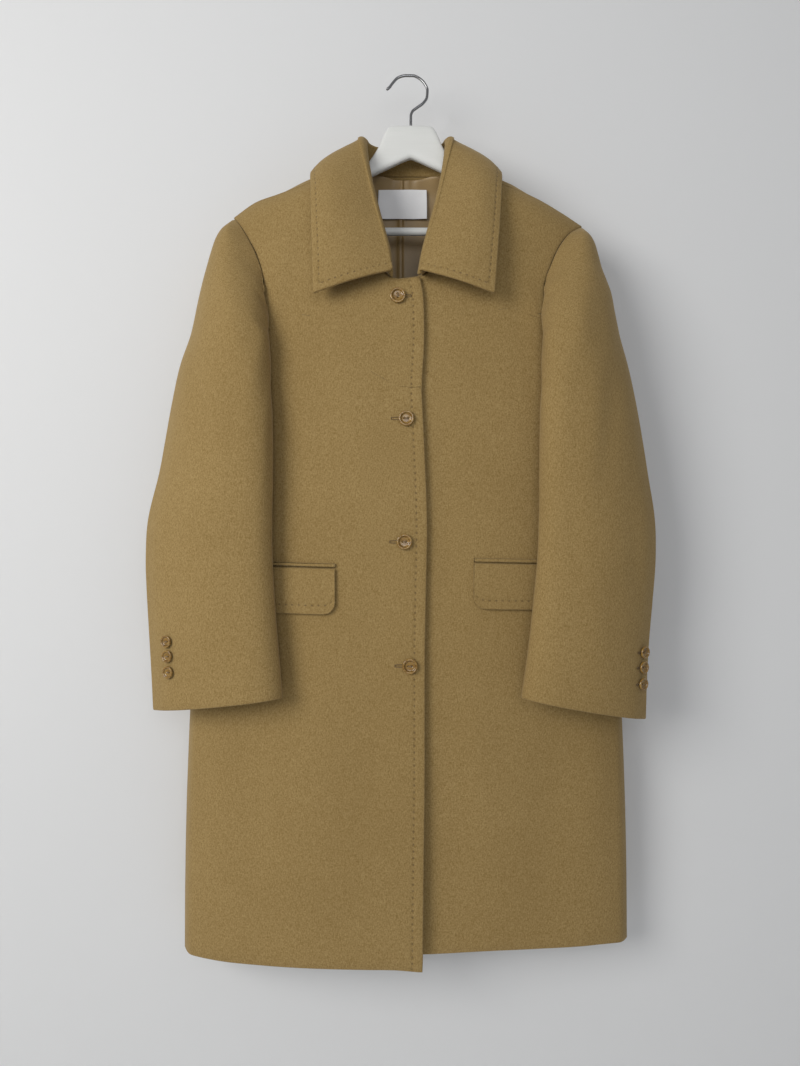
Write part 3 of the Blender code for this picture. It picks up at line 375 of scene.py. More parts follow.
sleeveForm = {
    # Along each sleeve: station, inner edge x, y, z, outer edge x, y, z, bulge front, bulge back,
    # lift of the front, and the angles in degrees where the ring starts and ends. Station 1 is the
    # underarm, the last is the cuff; angle 0 is the inner edge, 90 the front, 180 the outer edge.
    "sleeves": {
        "right": np.array([
            (0.0, 217, 0, -180, 219, 4, -181, 1, 1, 0, 90, 270),
            (0.25, 203, -4, -204, 237, 3, -204, 26, 27, 0, 70, 285),
            (0.5, 185, -12, -248, 250, 0, -246, 41, 40, 0, 30, 300),
            (0.7, 172, -25, -285, 258, -4, -281, 46, 44, 0, 0, 303),
            (0.8, 169, -40, -310, 263, -5, -303, 46, 34, 0, -43, 287),
            (0.9, 167, -50, -331, 267, -6, -322, 45, 24, 0, -82, 266),
            (1.0, 165, -56, -346, 271, -7, -338, 44, 12, 0, -131, 229),
            (1.25, 163, -60, -385, 284, -9, -380, 42, 9, 0, -95, 265),
            (1.5, 161.5, -63, -425, 292, -12, -424, 41, 9, 0, -62, 298),
            (2.0, 159.5, -66, -500, 305, -14, -498, 40, 9, 0, -42, 318),
            (2.5, 160.5, -66, -584, 323, -16, -586, 38, 8, 0, -34, 326),
            (3.0, 157.5, -67, -655, 321, -19, -650, 37, 8, 1, -32, 328),
            (3.5, 152, -68, -722, 315.5, -22, -728, 36, 9, 2, -32, 328),
            (4.0, 147.5, -69, -774, 311.5, -24, -797, 36, 10, 2, -32, 328),
        ]),
        "left": np.array([
            (0.0, 222, 0, -191, 224, 4, -192, 1, 1, 0, 90, 270),
            (0.25, 203, -4, -210, 236, 3, -212, 26, 27, 0, 70, 285),
            (0.5, 183, -12, -250, 246, 0, -250, 41, 40, 0, 30, 300),
            (0.7, 168, -25, -284, 257, -4, -282, 46, 44, 0, 0, 303),
            (0.8, 166, -40, -310, 261, -5, -303, 46, 34, 0, -43, 287),
            (0.9, 165, -50, -331, 265, -6, -322, 45, 24, 0, -82, 266),
            (1.0, 164, -56, -346, 268, -7, -337, 44, 12, 0, -131, 229),
            (1.25, 162.5, -60, -385, 279, -9, -382, 42, 9, 0, -95, 265),
            (1.5, 161, -63, -425, 287, -12, -426, 41, 9, 0, -62, 298),
            (2.0, 159, -66, -500, 299, -14, -500, 40, 9, 0, -42, 318),
            (2.5, 157.8, -66, -584, 310, -16, -586, 38, 8, 0, -34, 326),
            (3.0, 152, -67, -655, 305, -19, -660, 37, 8, 1, -32, 328),
            (3.5, 144.5, -68, -722, 298, -22, -735, 36, 9, 2, -32, 328),
            (4.0, 136.5, -69, -774, 294.7, -25, -808, 36, 10, 2, -32, 328),
        ]),
    },
    # station, share round the ring where the outer seam lies
    "outerSeam": np.array([
        (0.8, 0.985), (1.0, 0.90), (1.25, 0.78), (1.5, 0.70), (2.0, 0.62), (2.5, 0.60), (4.0, 0.59),
    ]),
    "underStart": 8,
    # station, distance in mm that the sleeve stands in front of the body's armhole edge
    "seamLaps": np.array([(0, 0), (0.3, 0), (0.4, 2.0), (0.65, 2.4), (0.8, 6.0), (0.9, 14.5), (1.0, 8.5)]),
    # station, distance in mm that the under sleeve stands beside the back's armhole edge
    "backLaps": np.array([(0, 0), (0.7, 0), (0.8, 5.0), (0.9, 6.2), (1.0, 3.0)]),
    "underarmGap": (6.0, -2.0, 5.5),
    "tubeRows": 10,
    "topColumns": 15,
    "underColumns": 8,
    "underarmThin": 0.55,
    "thinColumns": 4,
    "seamReach": 0.24,
    "sleeveTop": 0.035,
    "underarmBulge": 2.0,
    "fixedShare": 0.5,
    "fixedColumns": 9,
    "startCrowd": 1.4,
    "angleReach": 0.32,
    "fullAngle": 320,
    "sharedArmholeRows": 4,
    "bodyShift": 4.5 * mm,
    "bodyGap": 7.5 * mm,
    "clearShare": 0.95,
    "clearSlope": 1.2,
}


underStart = sleeveForm["underStart"]


# Gives two panels the same wall direction where they meet.
def shareSeam(first, firstEdge, second, secondEdge, turn=1):
    both = unit(first[firstEdge] + turn * second[secondEdge])
    spread = np.clip((both * unit(first[firstEdge])).sum(-1, keepdims=True), cut["leastSpread"], 1)
    first[firstEdge] = both / spread
    second[secondEdge] = turn * both / spread


# Points of the plain sleeve at each station and angle, before it meets the armhole.
def ringPoints(table, station, angle, sign):
    row = tableAt(table, station)[:, None]
    across = (1 - np.cos(angle)) / 2
    rise = np.sin(angle)
    behind = np.where((angle < 0) & (station[:, None] <= 1), sleeveForm["underarmBulge"], row[..., 7])
    bulge = np.where(rise > 0, row[..., 6], -behind)
    x = row[..., 0] + (row[..., 3] - row[..., 0]) * across
    y = row[..., 1] + (row[..., 4] - row[..., 1]) * across - np.abs(rise) * bulge
    z = row[..., 2] + (row[..., 5] - row[..., 2]) * across + rise * row[..., 8]
    return np.stack([sign * x, y, z], -1) * mm


# Grid of points of one sleeve panel; which 0 is the top sleeve, 1 the under sleeve.
def sleevePanel(side, which):
    sign, layer = sideWays[side]
    table = sleeveForm["sleeves"][side]
    tube = 1 + 3 * np.linspace(0, 1, sleeveForm["tubeRows"] + 1)[1:] ** 1.15
    station = np.concatenate([armRows, tube])
    station[0] = sleeveForm["sleeveTop"]
    split = tableAt(sleeveForm["outerSeam"], station)[:, None]
    if which == 0:
        split[:underStart] = 1
        crowd = np.linspace(0, 1, sleeveForm["fixedColumns"] + 1)[None] ** sleeveForm["startCrowd"]
        frontShare = sleeveForm["fixedShare"] * crowd
        outerShare = np.linspace(0, 1, sleeveForm["topColumns"] - sleeveForm["fixedColumns"] + 1)[1:]
        share = np.concatenate([
            np.repeat(frontShare, len(station), axis=0),
            sleeveForm["fixedShare"] + (split - sleeveForm["fixedShare"]) * outerShare,
        ], axis=1)
    else:
        station, split = station[underStart:], split[underStart:]
        share = split + (1 - split) * np.linspace(0, 1, sleeveForm["underColumns"] + 1)
    limits = np.radians(smooth(table[:, 0], table[:, 10:], station))
    low = np.clip(1 - share / sleeveForm["angleReach"], 0, 1)
    high = np.clip(1 - (1 - share) / sleeveForm["angleReach"], 0, 1)
    full = math.radians(sleeveForm["fullAngle"])
    angle = full * share + limits[:, :1] * low + (limits[:, 1:] - full) * high
    ring = ringPoints(table, station, angle, sign)
    rows = armholeRows + 1 - (underStart if which else 0)
    lap, aside = (
        np.interp(station[:rows], *sleeveForm[laps].T)[:, None] * mm for laps in ("seamLaps", "backLaps")
    )
    for arm in (0, 1):
        edge = outerEdge(side, arm)[: armholeRows + 1]
        target = shell(sign * edge[:, 0], edge[:, 1], layer)
        target[0] += sleeveForm["sleeveTop"] / armRows[1] * (target[1] - target[0])
        target[-1] += np.array(sleeveForm["underarmGap"]) * (sign, 1, 1) * mm
        target = target[armholeRows + 1 - rows:]
        target += lap * (1 - arm) * np.array([0, -1, 0]) + aside * arm * np.array([sign, 0, 0])
        found = ringPoints(table, station[:rows], limits[:rows, arm:arm + 1], sign)[:, 0]
        near = share[:rows] if arm == 0 else 1 - share[:rows]
        reach = np.clip(1 - near / sleeveForm["seamReach"], 0, 1) ** 3
        ring[:rows] += reach[..., None] * (target - found)[:, None]
    reachX = sleeveForm["clearShare"] * tableAt(form["halfWidth"], ring[..., 2])
    past = np.maximum(np.abs(ring[..., 0]) - reachX, 0)
    inward = (np.abs(ring[..., 0]) - past - sleeveForm["bodyShift"]) * sign
    before = shell(inward, -heightToH(inward, ring[..., 2]), layer)[..., 1]
    before = before - sleeveForm["bodyGap"] + sleeveForm["clearSlope"] * past
    behind = (angle < 0) | ((angle > math.pi) & (station[:, None] > 1))
    ring[..., 1] = np.where(behind, np.minimum(ring[..., 1], before), ring[..., 1])
    return ring


collarForm = {
    # Along the collar from centre back to its front end, one row at each point of the neckline:
    # |x|, y, z of the stand's top, |x|, y, z of the outer edge, the angle in degrees its outside
    # faces (0 the back, 90 the side, 180 the front) and how far the fall swells
    "collar": np.array([
        (0, 27, -84, 0, 50, -168, 0, 3),
        (20, 26, -84, 34, 49, -168, 15, 3),
        (38, 21, -83.5, 66, 46, -166, 35, 3),
        (48, 12, -82.5, 96, 45, -160, 60, 5),
        (51, 3, -82, 115, 22, -133, 85, 7),
        (51.5, -7, -87, 118, 0, -125, 105, 8),
        (50.5, -17, -101, 118, -25, -136, 125, 9),
        (47.5, -27, -128, 116, -44, -160, 145, 9),
        (42.5, -37, -160, 114.5, -54, -188, 155, 9),
        (36.5, -45, -190, 113, -62, -217, 160, 9),
        (30, -51, -217, 111.5, -67, -245, 165, 8),
        (23.5, -56, -245, 110.5, -71, -272, 170, 7),
        (17.5, -60, -268, 109.5, -74, -297, 175, 6),
    ]),
    # how far each collar tip leans in towards the middle
    "collarTips": {"right": -0.5 * mm, "left": 5.5 * mm},
    "collarWall": 4.4 * mm,
    "foldRadius": 4.6 * mm,
    "foldSteps": 4,
    "fallSteps": 5,
}


neckShares = np.linspace(0, 1, neckColumns)


# Grid of points of the collar, from the wearer's right front end round to the left.
def collarGrid():
    halves = []
    for side, (sign, layer) in sideWays.items():
        neckBack = tableAt(cut["backNeck"], neckShares)
        neckBack[0] = shoulderEdge(side, np.array([0.0]))[0]
        neckFront = frontNeckEdge(side, neckShares)
        edge = np.concatenate([neckBack[::-1], neckFront[-2::-1]])
        neck = shell(sign * edge[:, 0], edge[:, 1], layer)
        turn = np.array([sign, 1, 1]) * mm
        fold, outer = collarForm["collar"][:, :3] * turn, collarForm["collar"][:, 3:6] * turn
        towardTip = np.linspace(-1, 1, len(collarForm["collar"])).clip(0) ** 1.5
        outer[:, 0] -= sign * collarForm["collarTips"][side] * towardTip
        facing = np.radians(collarForm["collar"][:, 6])
        out = np.stack([sign * np.sin(facing), np.cos(facing), np.zeros(len(facing))], -1)
        up = fold - neck
        up = unit(up - (up * out).sum(-1, keepdims=True) * out)
        centre = fold + collarForm["foldRadius"] * out
        path = [neck, (neck + fold) / 2, fold]
        for step in range(1, collarForm["foldSteps"] + 1):
            turned = math.pi * step / collarForm["foldSteps"]
            path.append(centre + collarForm["foldRadius"] * (up * math.sin(turned) - out * math.cos(turned)))
        start = path[-1]
        for step in range(1, collarForm["fallSteps"] + 1):
            share = step / collarForm["fallSteps"]
            swell = collarForm["collar"][:, 7:8] * mm * math.sin(share * math.pi)
            path.append(start + (outer - start) * share + swell * out)
        halves.append(np.stack(path))
    return np.concatenate([halves[0][:, ::-1], halves[1][:, 1:]], axis=1)


fronts = {side: frontPanel(side) for side in sideWays}
back = backPanel()
outerColumn = neckColumns + shoulderColumns

collar = collarGrid()
sleeves = {(side, which): sleevePanel(side, which) for side in sideWays for which in (0, 1)}

directions = {}
for side in sideWays:
    directions[side] = facingFront(fronts[side])
directions["back"] = -facingFront(back)
directions["collar"] = normalsOf(collar)
directions["collar"] *= np.sign((directions["collar"][-2] * (collar[-2] - collar[1])).sum())
for (side, which), grid in sleeves.items():
    centre = np.concatenate([sleeves[side, 0][-3], sleeves[side, 1][-3]]).mean(axis=0)
    direction = normalsOf(grid)
    direction *= np.sign((direction[-3] * (grid[-3] - centre)).sum())
    directions[side, which] = direction

shoulderFront = slice(outerColumn, outerColumn - shoulderColumns - 1, -1)
sideRows = slice(armholeRows, None)
last = back.shape[1] - 1
for side in sideWays:
    column = 0 if side == "right" else -1
    shareSeam(directions[side], (sideRows, -1), directions["back"], (sideRows, column))
    if side == "right":
        shoulderBack = slice(0, shoulderColumns + 1)
    else:
        shoulderBack = slice(last, last - shoulderColumns - 1, -1)
    shareSeam(directions[side], (0, shoulderFront), directions["back"], (0, shoulderBack))
    top, under = directions[side, 0], directions[side, 1]
    shareSeam(top, (slice(underStart, None), -1), under, (slice(None), 0))
    tube = slice(armholeRows, None)
    top[armholeRows, 0] = top[armholeRows + 1, 0]
    below = armholeRows - underStart
    under[below, -1] = under[below + 1, -1]
    shareSeam(top, (tube, 0), under, (slice(below, None), -1))
    top[armholeRows, -sleeveForm["thinColumns"]:] *= sleeveForm["underarmThin"]
    under[below, :sleeveForm["thinColumns"]] *= sleeveForm["underarmThin"]
    upper = slice(1, sleeveForm["sharedArmholeRows"])
    shareSeam(top, (upper, 0), directions[side], (upper, -1))
    upper = slice(1, underStart)
    shareSeam(top, (upper, -1), directions["back"], (upper, column))
    top[underStart, -1] = under[0, -1]
    under[0] = under[0, -1]
middle = collar.shape[1] // 2
neckOnBack = slice(shoulderColumns, last - shoulderColumns + 1)
neckOnFront, columns = slice(1, neckColumns + 1), collar.shape[1]
for onCollar, panelName, onPanel in (
    (slice(middle - neckColumns + 1, middle + neckColumns), "back", neckOnBack),
    (slice(0, neckColumns), "right", neckOnFront),
    (slice(columns - 1, columns - neckColumns - 1, -1), "left", neckOnFront),
):
    shareSeam(directions["collar"], (0, onCollar), directions[panelName], (0, onPanel), turn=-1)

liningForm = {
    # x of each column, h of its top row and how far the pleat stands off, all inside the upper back
    "liningX": np.array([-88, -66, -44, -24, -13, -9, -5.5, -2, 8, 26, 46, 67, 88]) * mm,
    "liningTop": np.array([24, 27, 33, 41, 43.5, 44, 44, 44, 43.5, 41, 33, 27, 24]) * mm,
    "pleat": np.array([0, 0, 0, 0, 0.4, 2.0, 2.2, 0.2, 0, 0, 0, 0, 0]) * mm,
    "liningBottom": -352.0 * mm,
    "liningGap": 6.0 * mm,
    "liningWall": 1.2 * mm,
    "liningRows": 9,
    "fineness": 8,
    "gatherHeight": 0.75 * mm,
    "slackHeight": 0.7 * mm,
    "edge": 0.4 * mm,
}

labelForm = {
    "labelX": np.linspace(-36.3, 27.6, 7) * mm,
    "labelZ": np.array([-131.5, -144, -157, -169.5]) * mm,
    "labelWall": 0.9 * mm,
    "labelGap": 10.8 * mm,
    "fineness": 8,
    "curl": 1.3 * mm,
    "ripple": 0.35 * mm,
    "edge": 0.3 * mm,
}

pocketForm = {
    # inner and outer x of each pocket's opening, and its height at the outer and inner end
    "pockets": {"right": (-85, -240, -611.5, -615.5), "left": (81, 236, -612.5, -609.0)},
    "weltHeight": 5.2 * mm,
    "weltWall": 2.6 * mm,
    "flapWall": 3.6 * mm,
    "flapHeight": 55.5 * mm,
    "flapCorner": 15.0 * mm,
    "flapLift": 1.2 * mm,
    "pieceGap": 0.6 * mm,
}

buttonForm = {
    "frontButton": (9.4 * mm, 3.6 * mm),
    "cuffButton": (7.5 * mm, 2.8 * mm),
    "buttonGap": 0.8 * mm,
    "cuffButtonGap": 2.0 * mm,
    "cuffButtonTilt": 0.25,
    "frontButtons": np.array([(-10.3, -294), (0.0, -441.7), (-2.4, -589.6), (4.4, -738.5)]) * mm,
    # station of each cuff button, and the angle round the sleeve where the row of buttons runs
    "cuffButtons": {"right": ((3.385, 3.505, 3.645), 127), "left": ((3.435, 3.56, 3.70), 146)},
}

print("patterns worked out")

shellForm = {
    "fineness": 6,  # fine cells in each coarse one
    "edgeRadius": 1.4 * mm,  # rounding of the cloth's edges
    "edgeRings": 4,
    "seamSink": 0.9 * mm,  # how far the cloth dips at a seam
    "seamReach": 7.0 * mm,
    "foldFade": 25 * mm,  # how far from a seam the folds reach their full height
}
# Soft folds of the cloth: piece, |x|, z of the middle, half length, half width, tilt in degrees from
# upright and height in mm, a trough where it is negative
folds = {
    "front_right": [
        (168, -330, 95, 15, -9, 1.5), (140, -290, 80, 16, -16, -1.1), (205, -480, 150, 20, 3, -1.6),
        (60, -430, 120, 26, 4, 0.8), (110, -880, 190, 30, -3, 1.3), (190, -930, 150, 26, 2, -1.4),
        (40, -800, 140, 20, -2, -0.8), (236, -860, 170, 22, 1, 1.5), (120, -540, 90, 28, 8, -0.8),
    ],
    "front_left": [
        (160, -340, 100, 15, 10, 1.5), (130, -280, 70, 17, 15, -1.1), (200, -500, 150, 20, -4, -1.7),
        (45, -520, 130, 15, 2, -0.9), (90, -860, 200, 28, 3, 1.4), (175, -950, 150, 26, -2, -1.4),
        (236, -840, 170, 22, -1, 1.4), (105, -560, 90, 30, -7, 0.8), (20, -900, 170, 15, 1, 1.0),
    ],
    "back": [
        (150, -330, 110, 22, -8, -1.6), (-155, -340, 110, 22, 8, -1.5), (70, -560, 210, 30, 3, 1.6),
        (-90, -600, 200, 28, -2, 1.5), (10, -800, 240, 30, 1, -1.4), (190, -860, 190, 28, 2, 1.8),
        (-185, -880, 190, 28, -2, 1.7), (110, -960, 130, 22, -2, -1.5), (-100, -940, 140, 24, 3, -1.4),
    ],
    "sleeve_right": [
        (210, -300, 90, 13, 14, 1.6), (245, -420, 120, 14, 10, -1.6), (222, -470, 110, 16, 6, 1.1),
        (278, -590, 90, 13, -4, -1.4), (200, -560, 110, 16, 2, -1.2), (240, -690, 90, 20, -4, 1.0),
    ],
    "sleeve_left": [
        (208, -310, 90, 13, -14, 1.6), (243, -430, 120, 14, -10, -1.7), (218, -480, 110, 16, -6, 1.1),
        (272, -600, 90, 13, 4, -1.3), (195, -570, 110, 16, -2, -1.3), (225, -700, 90, 20, 5, 1.0),
    ],
    "collar": [(90, -170, 40, 12, 8, 0.8), (-92, -180, 45, 12, -8, 0.7), (0, -130, 14, 60, 0, 0.5)],
}


# Cubic through evenly spaced points, count cells in each: a Catmull-Rom blend of four neighbours.
def refined(grid, count):
    for axis in (0, 1):
        grid = np.moveaxis(grid, axis, 0)
        ends = np.concatenate([2 * grid[:1] - grid[1:2], grid, 2 * grid[-1:] - grid[-2:-1]])
        share = (np.arange(count) / count).reshape([1, count] + [1] * (grid.ndim - 1))
        p0, p1, p2, p3 = [ends[i:len(ends) - 3 + i, None] for i in range(4)]
        bend = 0.5 * (
            2 * p1 + (p2 - p0) * share + (2 * p0 - 5 * p1 + 4 * p2 - p3) * share ** 2
            + (3 * p1 - p0 - 3 * p2 + p3) * share ** 3
        )
        grid = np.concatenate([bend.reshape(-1, *grid.shape[1:]), grid[-1:]])
        grid = np.moveaxis(grid, 0, axis)
    return grid


# Height of the soft folds at each point: a bell across each fold's line, times a bell along it.
def foldHeight(grid, table, sign=1):
    height = np.zeros(grid.shape[:2])
    for x, z, length, width, tilt, rise in table:
        turn = math.radians(tilt)
        offX = grid[..., 0] - sign * x * mm
        offZ = grid[..., 2] - z * mm
        across = offX * math.cos(turn) + offZ * math.sin(turn)
        along = offZ * math.cos(turn) - offX * math.sin(turn)
        height += rise * mm * np.exp(-(across / (width * mm)) ** 2 - (along / (length * mm)) ** 2)
    return height


# Distance along the surface from each edge of a grid: top, bottom, first and last column.
def edgeDistances(grid):
    down = np.linalg.norm(np.diff(grid, axis=0), axis=-1)
    across = np.linalg.norm(np.diff(grid, axis=1), axis=-1)
    fromTop = np.concatenate([np.zeros((1, grid.shape[1])), np.cumsum(down, axis=0)])
    fromFirst = np.concatenate([np.zeros((grid.shape[0], 1)), np.cumsum(across, axis=1)], axis=1)
    return fromTop, fromTop[-1:] - fromTop, fromFirst, fromFirst[:, -1:] - fromFirst


# Puts an object that holds this data in the scene.
def linked(name, data):
    made = bpy.data.objects.new(name, data)
    bpy.context.scene.collection.objects.link(made)
    return made


# Puts a mesh in the scene, with one UV pair and one mark value for each point.
def addMesh(name, points, faces, material, uv=None, mark=None):
    mesh = bpy.data.meshes.new(name)
    mesh.from_pydata(points.tolist(), [], [])
    count, sides = faces.shape
    mesh.loops.add(count * sides)
    mesh.polygons.add(count)
    mesh.loops.foreach_set("vertex_index", faces.ravel().astype(np.int32))
    mesh.polygons.foreach_set("loop_start", np.arange(0, count * sides, sides, dtype=np.int32))
    mesh.polygons.foreach_set("use_smooth", np.ones(count, bool))
    mesh.update(calc_edges=True)
    if uv is not None:
        layer = mesh.uv_layers.new(name="surface")
        layer.data.foreach_set("uv", uv[faces.ravel()].ravel().astype(np.float32))
    if mark is not None:
        layer = mesh.attributes.new("seam", "FLOAT", "POINT")
        layer.data.foreach_set("value", mark.astype(np.float32))
    mesh.validate()
    mesh.materials.append(material)
    return linked(name, mesh)


# Indices of a grid of points whose last column is its first one again.
def closedIndex(points):
    index = np.arange(points[..., 0].size).reshape(points.shape[:2])
    index[:, -1] = index[:, 0]
    return index


# Faces of a grid of indices; each cell is one quad.
def quads(index):
    return np.stack([index[:-1, :-1], index[1:, :-1], index[1:, 1:], index[:-1, 1:]], -1).reshape(-1, 4)


# A closed sheet of cloth: two faces half a wall either side of the grid, joined by a half-round rim
# whose rings turn from the outer face to the inner one.
def clothWall(name, grid, facing, thickness, material, uv, mark, edge=None):
    rows, columns = grid.shape[:2]
    radius = thickness / 2
    back = shellForm["edgeRadius"] if edge is None else edge
    inset = grid.copy()
    inset[0] += back * unit(grid[1] - grid[0])
    inset[-1] += back * unit(grid[-2] - grid[-1])
    inset[:, 0] += back * unit(grid[:, 1] - grid[:, 0])
    inset[:, -1] += back * unit(grid[:, -2] - grid[:, -1])
    out = (grid - inset) / max(back, 1e-9)
    outer = (inset + facing * radius).reshape(-1, 3)
    inner = (inset - facing * radius).reshape(-1, 3)
    index = np.arange(rows * columns).reshape(rows, columns)
    rim = np.concatenate([index[0, :-1], index[:-1, -1], index[-1, :0:-1], index[:0:-1, 0]])
    turn = np.linspace(0, math.pi, shellForm["edgeRings"] + 1)[1:-1, None, None]
    middle = inset.reshape(-1, 3)[rim]
    push = unit(out.reshape(-1, 3)[rim])
    away = facing.reshape(-1, 3)[rim]
    rings = middle + back * np.sin(turn) * push + radius * np.cos(turn) * away
    points = np.concatenate([outer, inner, rings.reshape(-1, 3)])
    shift = rows * columns
    ringIndex = 2 * shift + np.arange(rings.shape[0] * len(rim)).reshape(rings.shape[0], len(rim))
    band = np.concatenate([rim[None], ringIndex, (rim + shift)[None]])
    band = np.concatenate([band, band[:, :1]], axis=1)
    faces = np.concatenate([quads(index), quads(index + shift)[:, ::-1], quads(band.T)])
    if (normalsOf(grid) * facing).sum() < 0:
        faces = faces[:, ::-1]
    rimUv = np.tile(uv.reshape(-1, 2)[rim], (rings.shape[0], 1))
    rimMark = np.tile(mark.ravel()[rim], rings.shape[0])
    allUv = np.concatenate([uv.reshape(-1, 2), uv.reshape(-1, 2), rimUv])
    allMark = np.concatenate([mark.ravel(), mark.ravel() * 0, rimMark])
    return addMesh(name, points, faces, material, allUv, allMark)


# Wraps a socket, so that sums of sockets read as arithmetic; each operator adds its Math node.
class Socket:
    def __init__(self, tree, link):
        self.tree = tree
        self.link = link

    def node(self, kind, settings=None, inputs=None, output=0):
        made = self.tree.nodes.new(kind)
        for key, value in (settings or {}).items():
            if key == "stops":
                ramp = made.color_ramp
                while len(ramp.elements) < len(value):
                    ramp.elements.new(1.0)
                for element, (place, colour) in zip(ramp.elements, value):
                    element.position = place
                    element.color = (*colour, 1.0)
            else:
                setattr(made, key, value)
        for key, value in (inputs or {}).items():
            if isinstance(value, Socket):
                self.tree.links.new(value.link, made.inputs[key])
            else:
                made.inputs[key].default_value = value
        return Socket(self.tree, made.outputs[output])

    def maths(self, operation, *values):
        return self.node("ShaderNodeMath", {"operation": operation}, dict(enumerate(values)))

    def alone(self, operation):
        return self.node("ShaderNodeMath", {"operation": operation}, {0: self})

    def atLeast(self, limit):
        return self.maths("MAXIMUM", self, limit)

    def atMost(self, limit):
        return self.maths("MINIMUM", self, limit)

    def __add__(self, other):
        return self.maths("ADD", self, other)

    def __sub__(self, other):
        return self.maths("SUBTRACT", self, other)

    def __mul__(self, other):
        return self.maths("MULTIPLY", self, other)

    def __truediv__(self, other):
        return self.maths("DIVIDE", self, other)

    __radd__ = __add__
    __rmul__ = __mul__

    def __rsub__(self, other):
        return self.maths("SUBTRACT", other, self)


# A material, its Principled shader, a socket to start from and the Object coordinates: constants go
# straight onto the shader's own sockets.
def startMaterial(name, **constants):
    made = bpy.data.materials.new(name)
    made.use_nodes = True
    tree = made.node_tree
    shader = tree.nodes["Principled BSDF"]
    for key, value in constants.items():
        shader.inputs[key.replace("_", " ")].default_value = value
    start = Socket(tree, None)
    return made, shader, start, start.node("ShaderNodeTexCoord", {}, {}, 3)


# Links a value to one of the shader's sockets.
def feed(start, shader, key, value):
    start.tree.links.new(value.link, shader.inputs[key])


# A bump from a height, fed to the shader's Normal.
def feedBump(start, shader, strength, distance, height):
    inputs = {"Strength": strength, "Distance": distance, "Height": height}
    feed(start, shader, "Normal", start.node("ShaderNodeBump", {}, inputs))


# A bell round a value: 1 at the middle, falling evenly to 0 at the half width.
def bell(value, middle, half):
    off = (value - middle).alone("ABSOLUTE")
    return (1 - off / half).atLeast(0.0)


# Two colours mixed by a factor.
def mixed(start, factor, first, second):
    inputs = {"Factor": factor, 6: first, 7: second}
    return start.node("ShaderNodeMix", {"data_type": "RGBA"}, inputs, 2)


# Cloudy noise from 0 to 1, with scale cells to a metre.
def noise(start, place, scale, detail, rough):
    inputs = {"Vector": place, "Scale": scale, "Detail": detail, "Roughness": rough}
    return start.node("ShaderNodeTexNoise", {"noise_dimensions": "3D"}, inputs)


# A value's range from low to high, spread from 0 to top.
def ranged(start, value, low, high, top):
    inputs = {"Value": value, "From Min": low, "From Max": high, "To Min": 0.0, "To Max": top}
    return start.node("ShaderNodeMapRange", {}, inputs)


# A place times a scale for each axis, so that a pattern is drawn out along the small ones.
def stretched(start, place, scale):
    return start.node("ShaderNodeMapping", {}, {"Vector": place, "Scale": scale})


woolLook = {
    "base": (0.305, 0.204, 0.074, 1.0),
    "light": (0.440, 0.315, 0.140, 1.0),
    "dark": (0.185, 0.112, 0.032, 1.0),
    # painted shade for the seam valleys and the dents under the stitches
    "paintedSeamShade": (0.110, 0.066, 0.022, 1.0),
    "fibreScale": 1050.0,  # flecks of the melton, in cells to a metre
    "nap": 0.42,
    "napDepth": 0.8 * mm,
    "pillScale": 480.0,
    "patchScale": 9.0,
}


# Felted wool: pale and dark fibre flecks, some drawn out down the cloth and some across, over slow
# patches of darker tone; seam valleys and stitched lines get painted shade; the nap is a fine bump with a
# sheen.
def makeWool(name):
    made, shader, start, place = startMaterial(
        name, Roughness=0.94, Sheen_Weight=0.20, Sheen_Roughness=0.45, Sheen_Tint=(1.0, 0.86, 0.62, 1.0),
        Specular_IOR_Level=0.18)
    scale = woolLook["fibreScale"]
    down = noise(start, stretched(start, place, (1.0, 1.0, 0.32)), scale, 3.0, 0.65)
    across = noise(start, stretched(start, place, (0.32, 1.0, 1.0)), scale * 0.9, 3.0, 0.65)
    pills = noise(start, place, woolLook["pillScale"], 4.0, 0.7)
    patches = noise(start, place, woolLook["patchScale"], 3.0, 0.5)
    flecks = down * 0.5 + across * 0.3 + pills * 0.2
    contrast = ranged(start, flecks, 0.40, 0.61, 1.0)
    light = mixed(start, contrast, woolLook["dark"], woolLook["light"])
    body = mixed(start, woolLook["nap"], light, woolLook["base"])
    shade = ranged(start, patches, 0.3, 0.7, 0.16)
    body = mixed(start, shade, body, woolLook["dark"])
    seam = start.node("ShaderNodeAttribute", {"attribute_name": "seam"}, {}, 2)
    line = start.node("ShaderNodeUVMap", {"uv_map": "surface"})
    fromEdge, along = (start.node("ShaderNodeSeparateXYZ", {}, {"Vector": line}, axis) for axis in (0, 1))
    groove = bell(fromEdge, 1.0, 0.30)
    dimpleBumpAndShade = bell(fromEdge, 1.0, 0.17) * bell(along.alone("FRACT"), 0.5, 0.26)
    # Painted shade: the wool darkens in the seam valleys and in the dents under each stitch.
    body = mixed(start, (seam * 0.26 + dimpleBumpAndShade * 0.55).atMost(0.8), body, woolLook["paintedSeamShade"])
    feed(start, shader, "Base Color", body)
    height = flecks * 0.7 + pills * 0.5 - seam * 0.6 - dimpleBumpAndShade * 2.0 - groove * 1.1
    feedBump(start, shader, woolLook["nap"], woolLook["napDepth"], height)
    return made


satinLook = {"base": (0.255, 0.160, 0.058, 1.0), "light": (0.40, 0.270, 0.115, 1.0), "threadScale": 2600.0}


# Satin: thread lines across the cloth that vary its colour and roughness, with slow shade.
def makeSatin(name, base, light, roughness, threads):
    made, shader, start, place = startMaterial(name, Specular_IOR_Level=0.5, Sheen_Weight=0.1)
    lines = noise(start, stretched(start, place, (0.12, 0.4, 1.0)), threads, 2.0, 0.6)
    slow = noise(start, place, 40.0, 3.0, 0.55)
    feed(start, shader, "Base Color", mixed(start, lines * 0.6 + slow * 0.5 - 0.1, base, light))
    feed(start, shader, "Roughness", lines * 0.22 + roughness)
    feedBump(start, shader, 0.35, 0.15 * mm, lines + slow * 2.0)
    return made


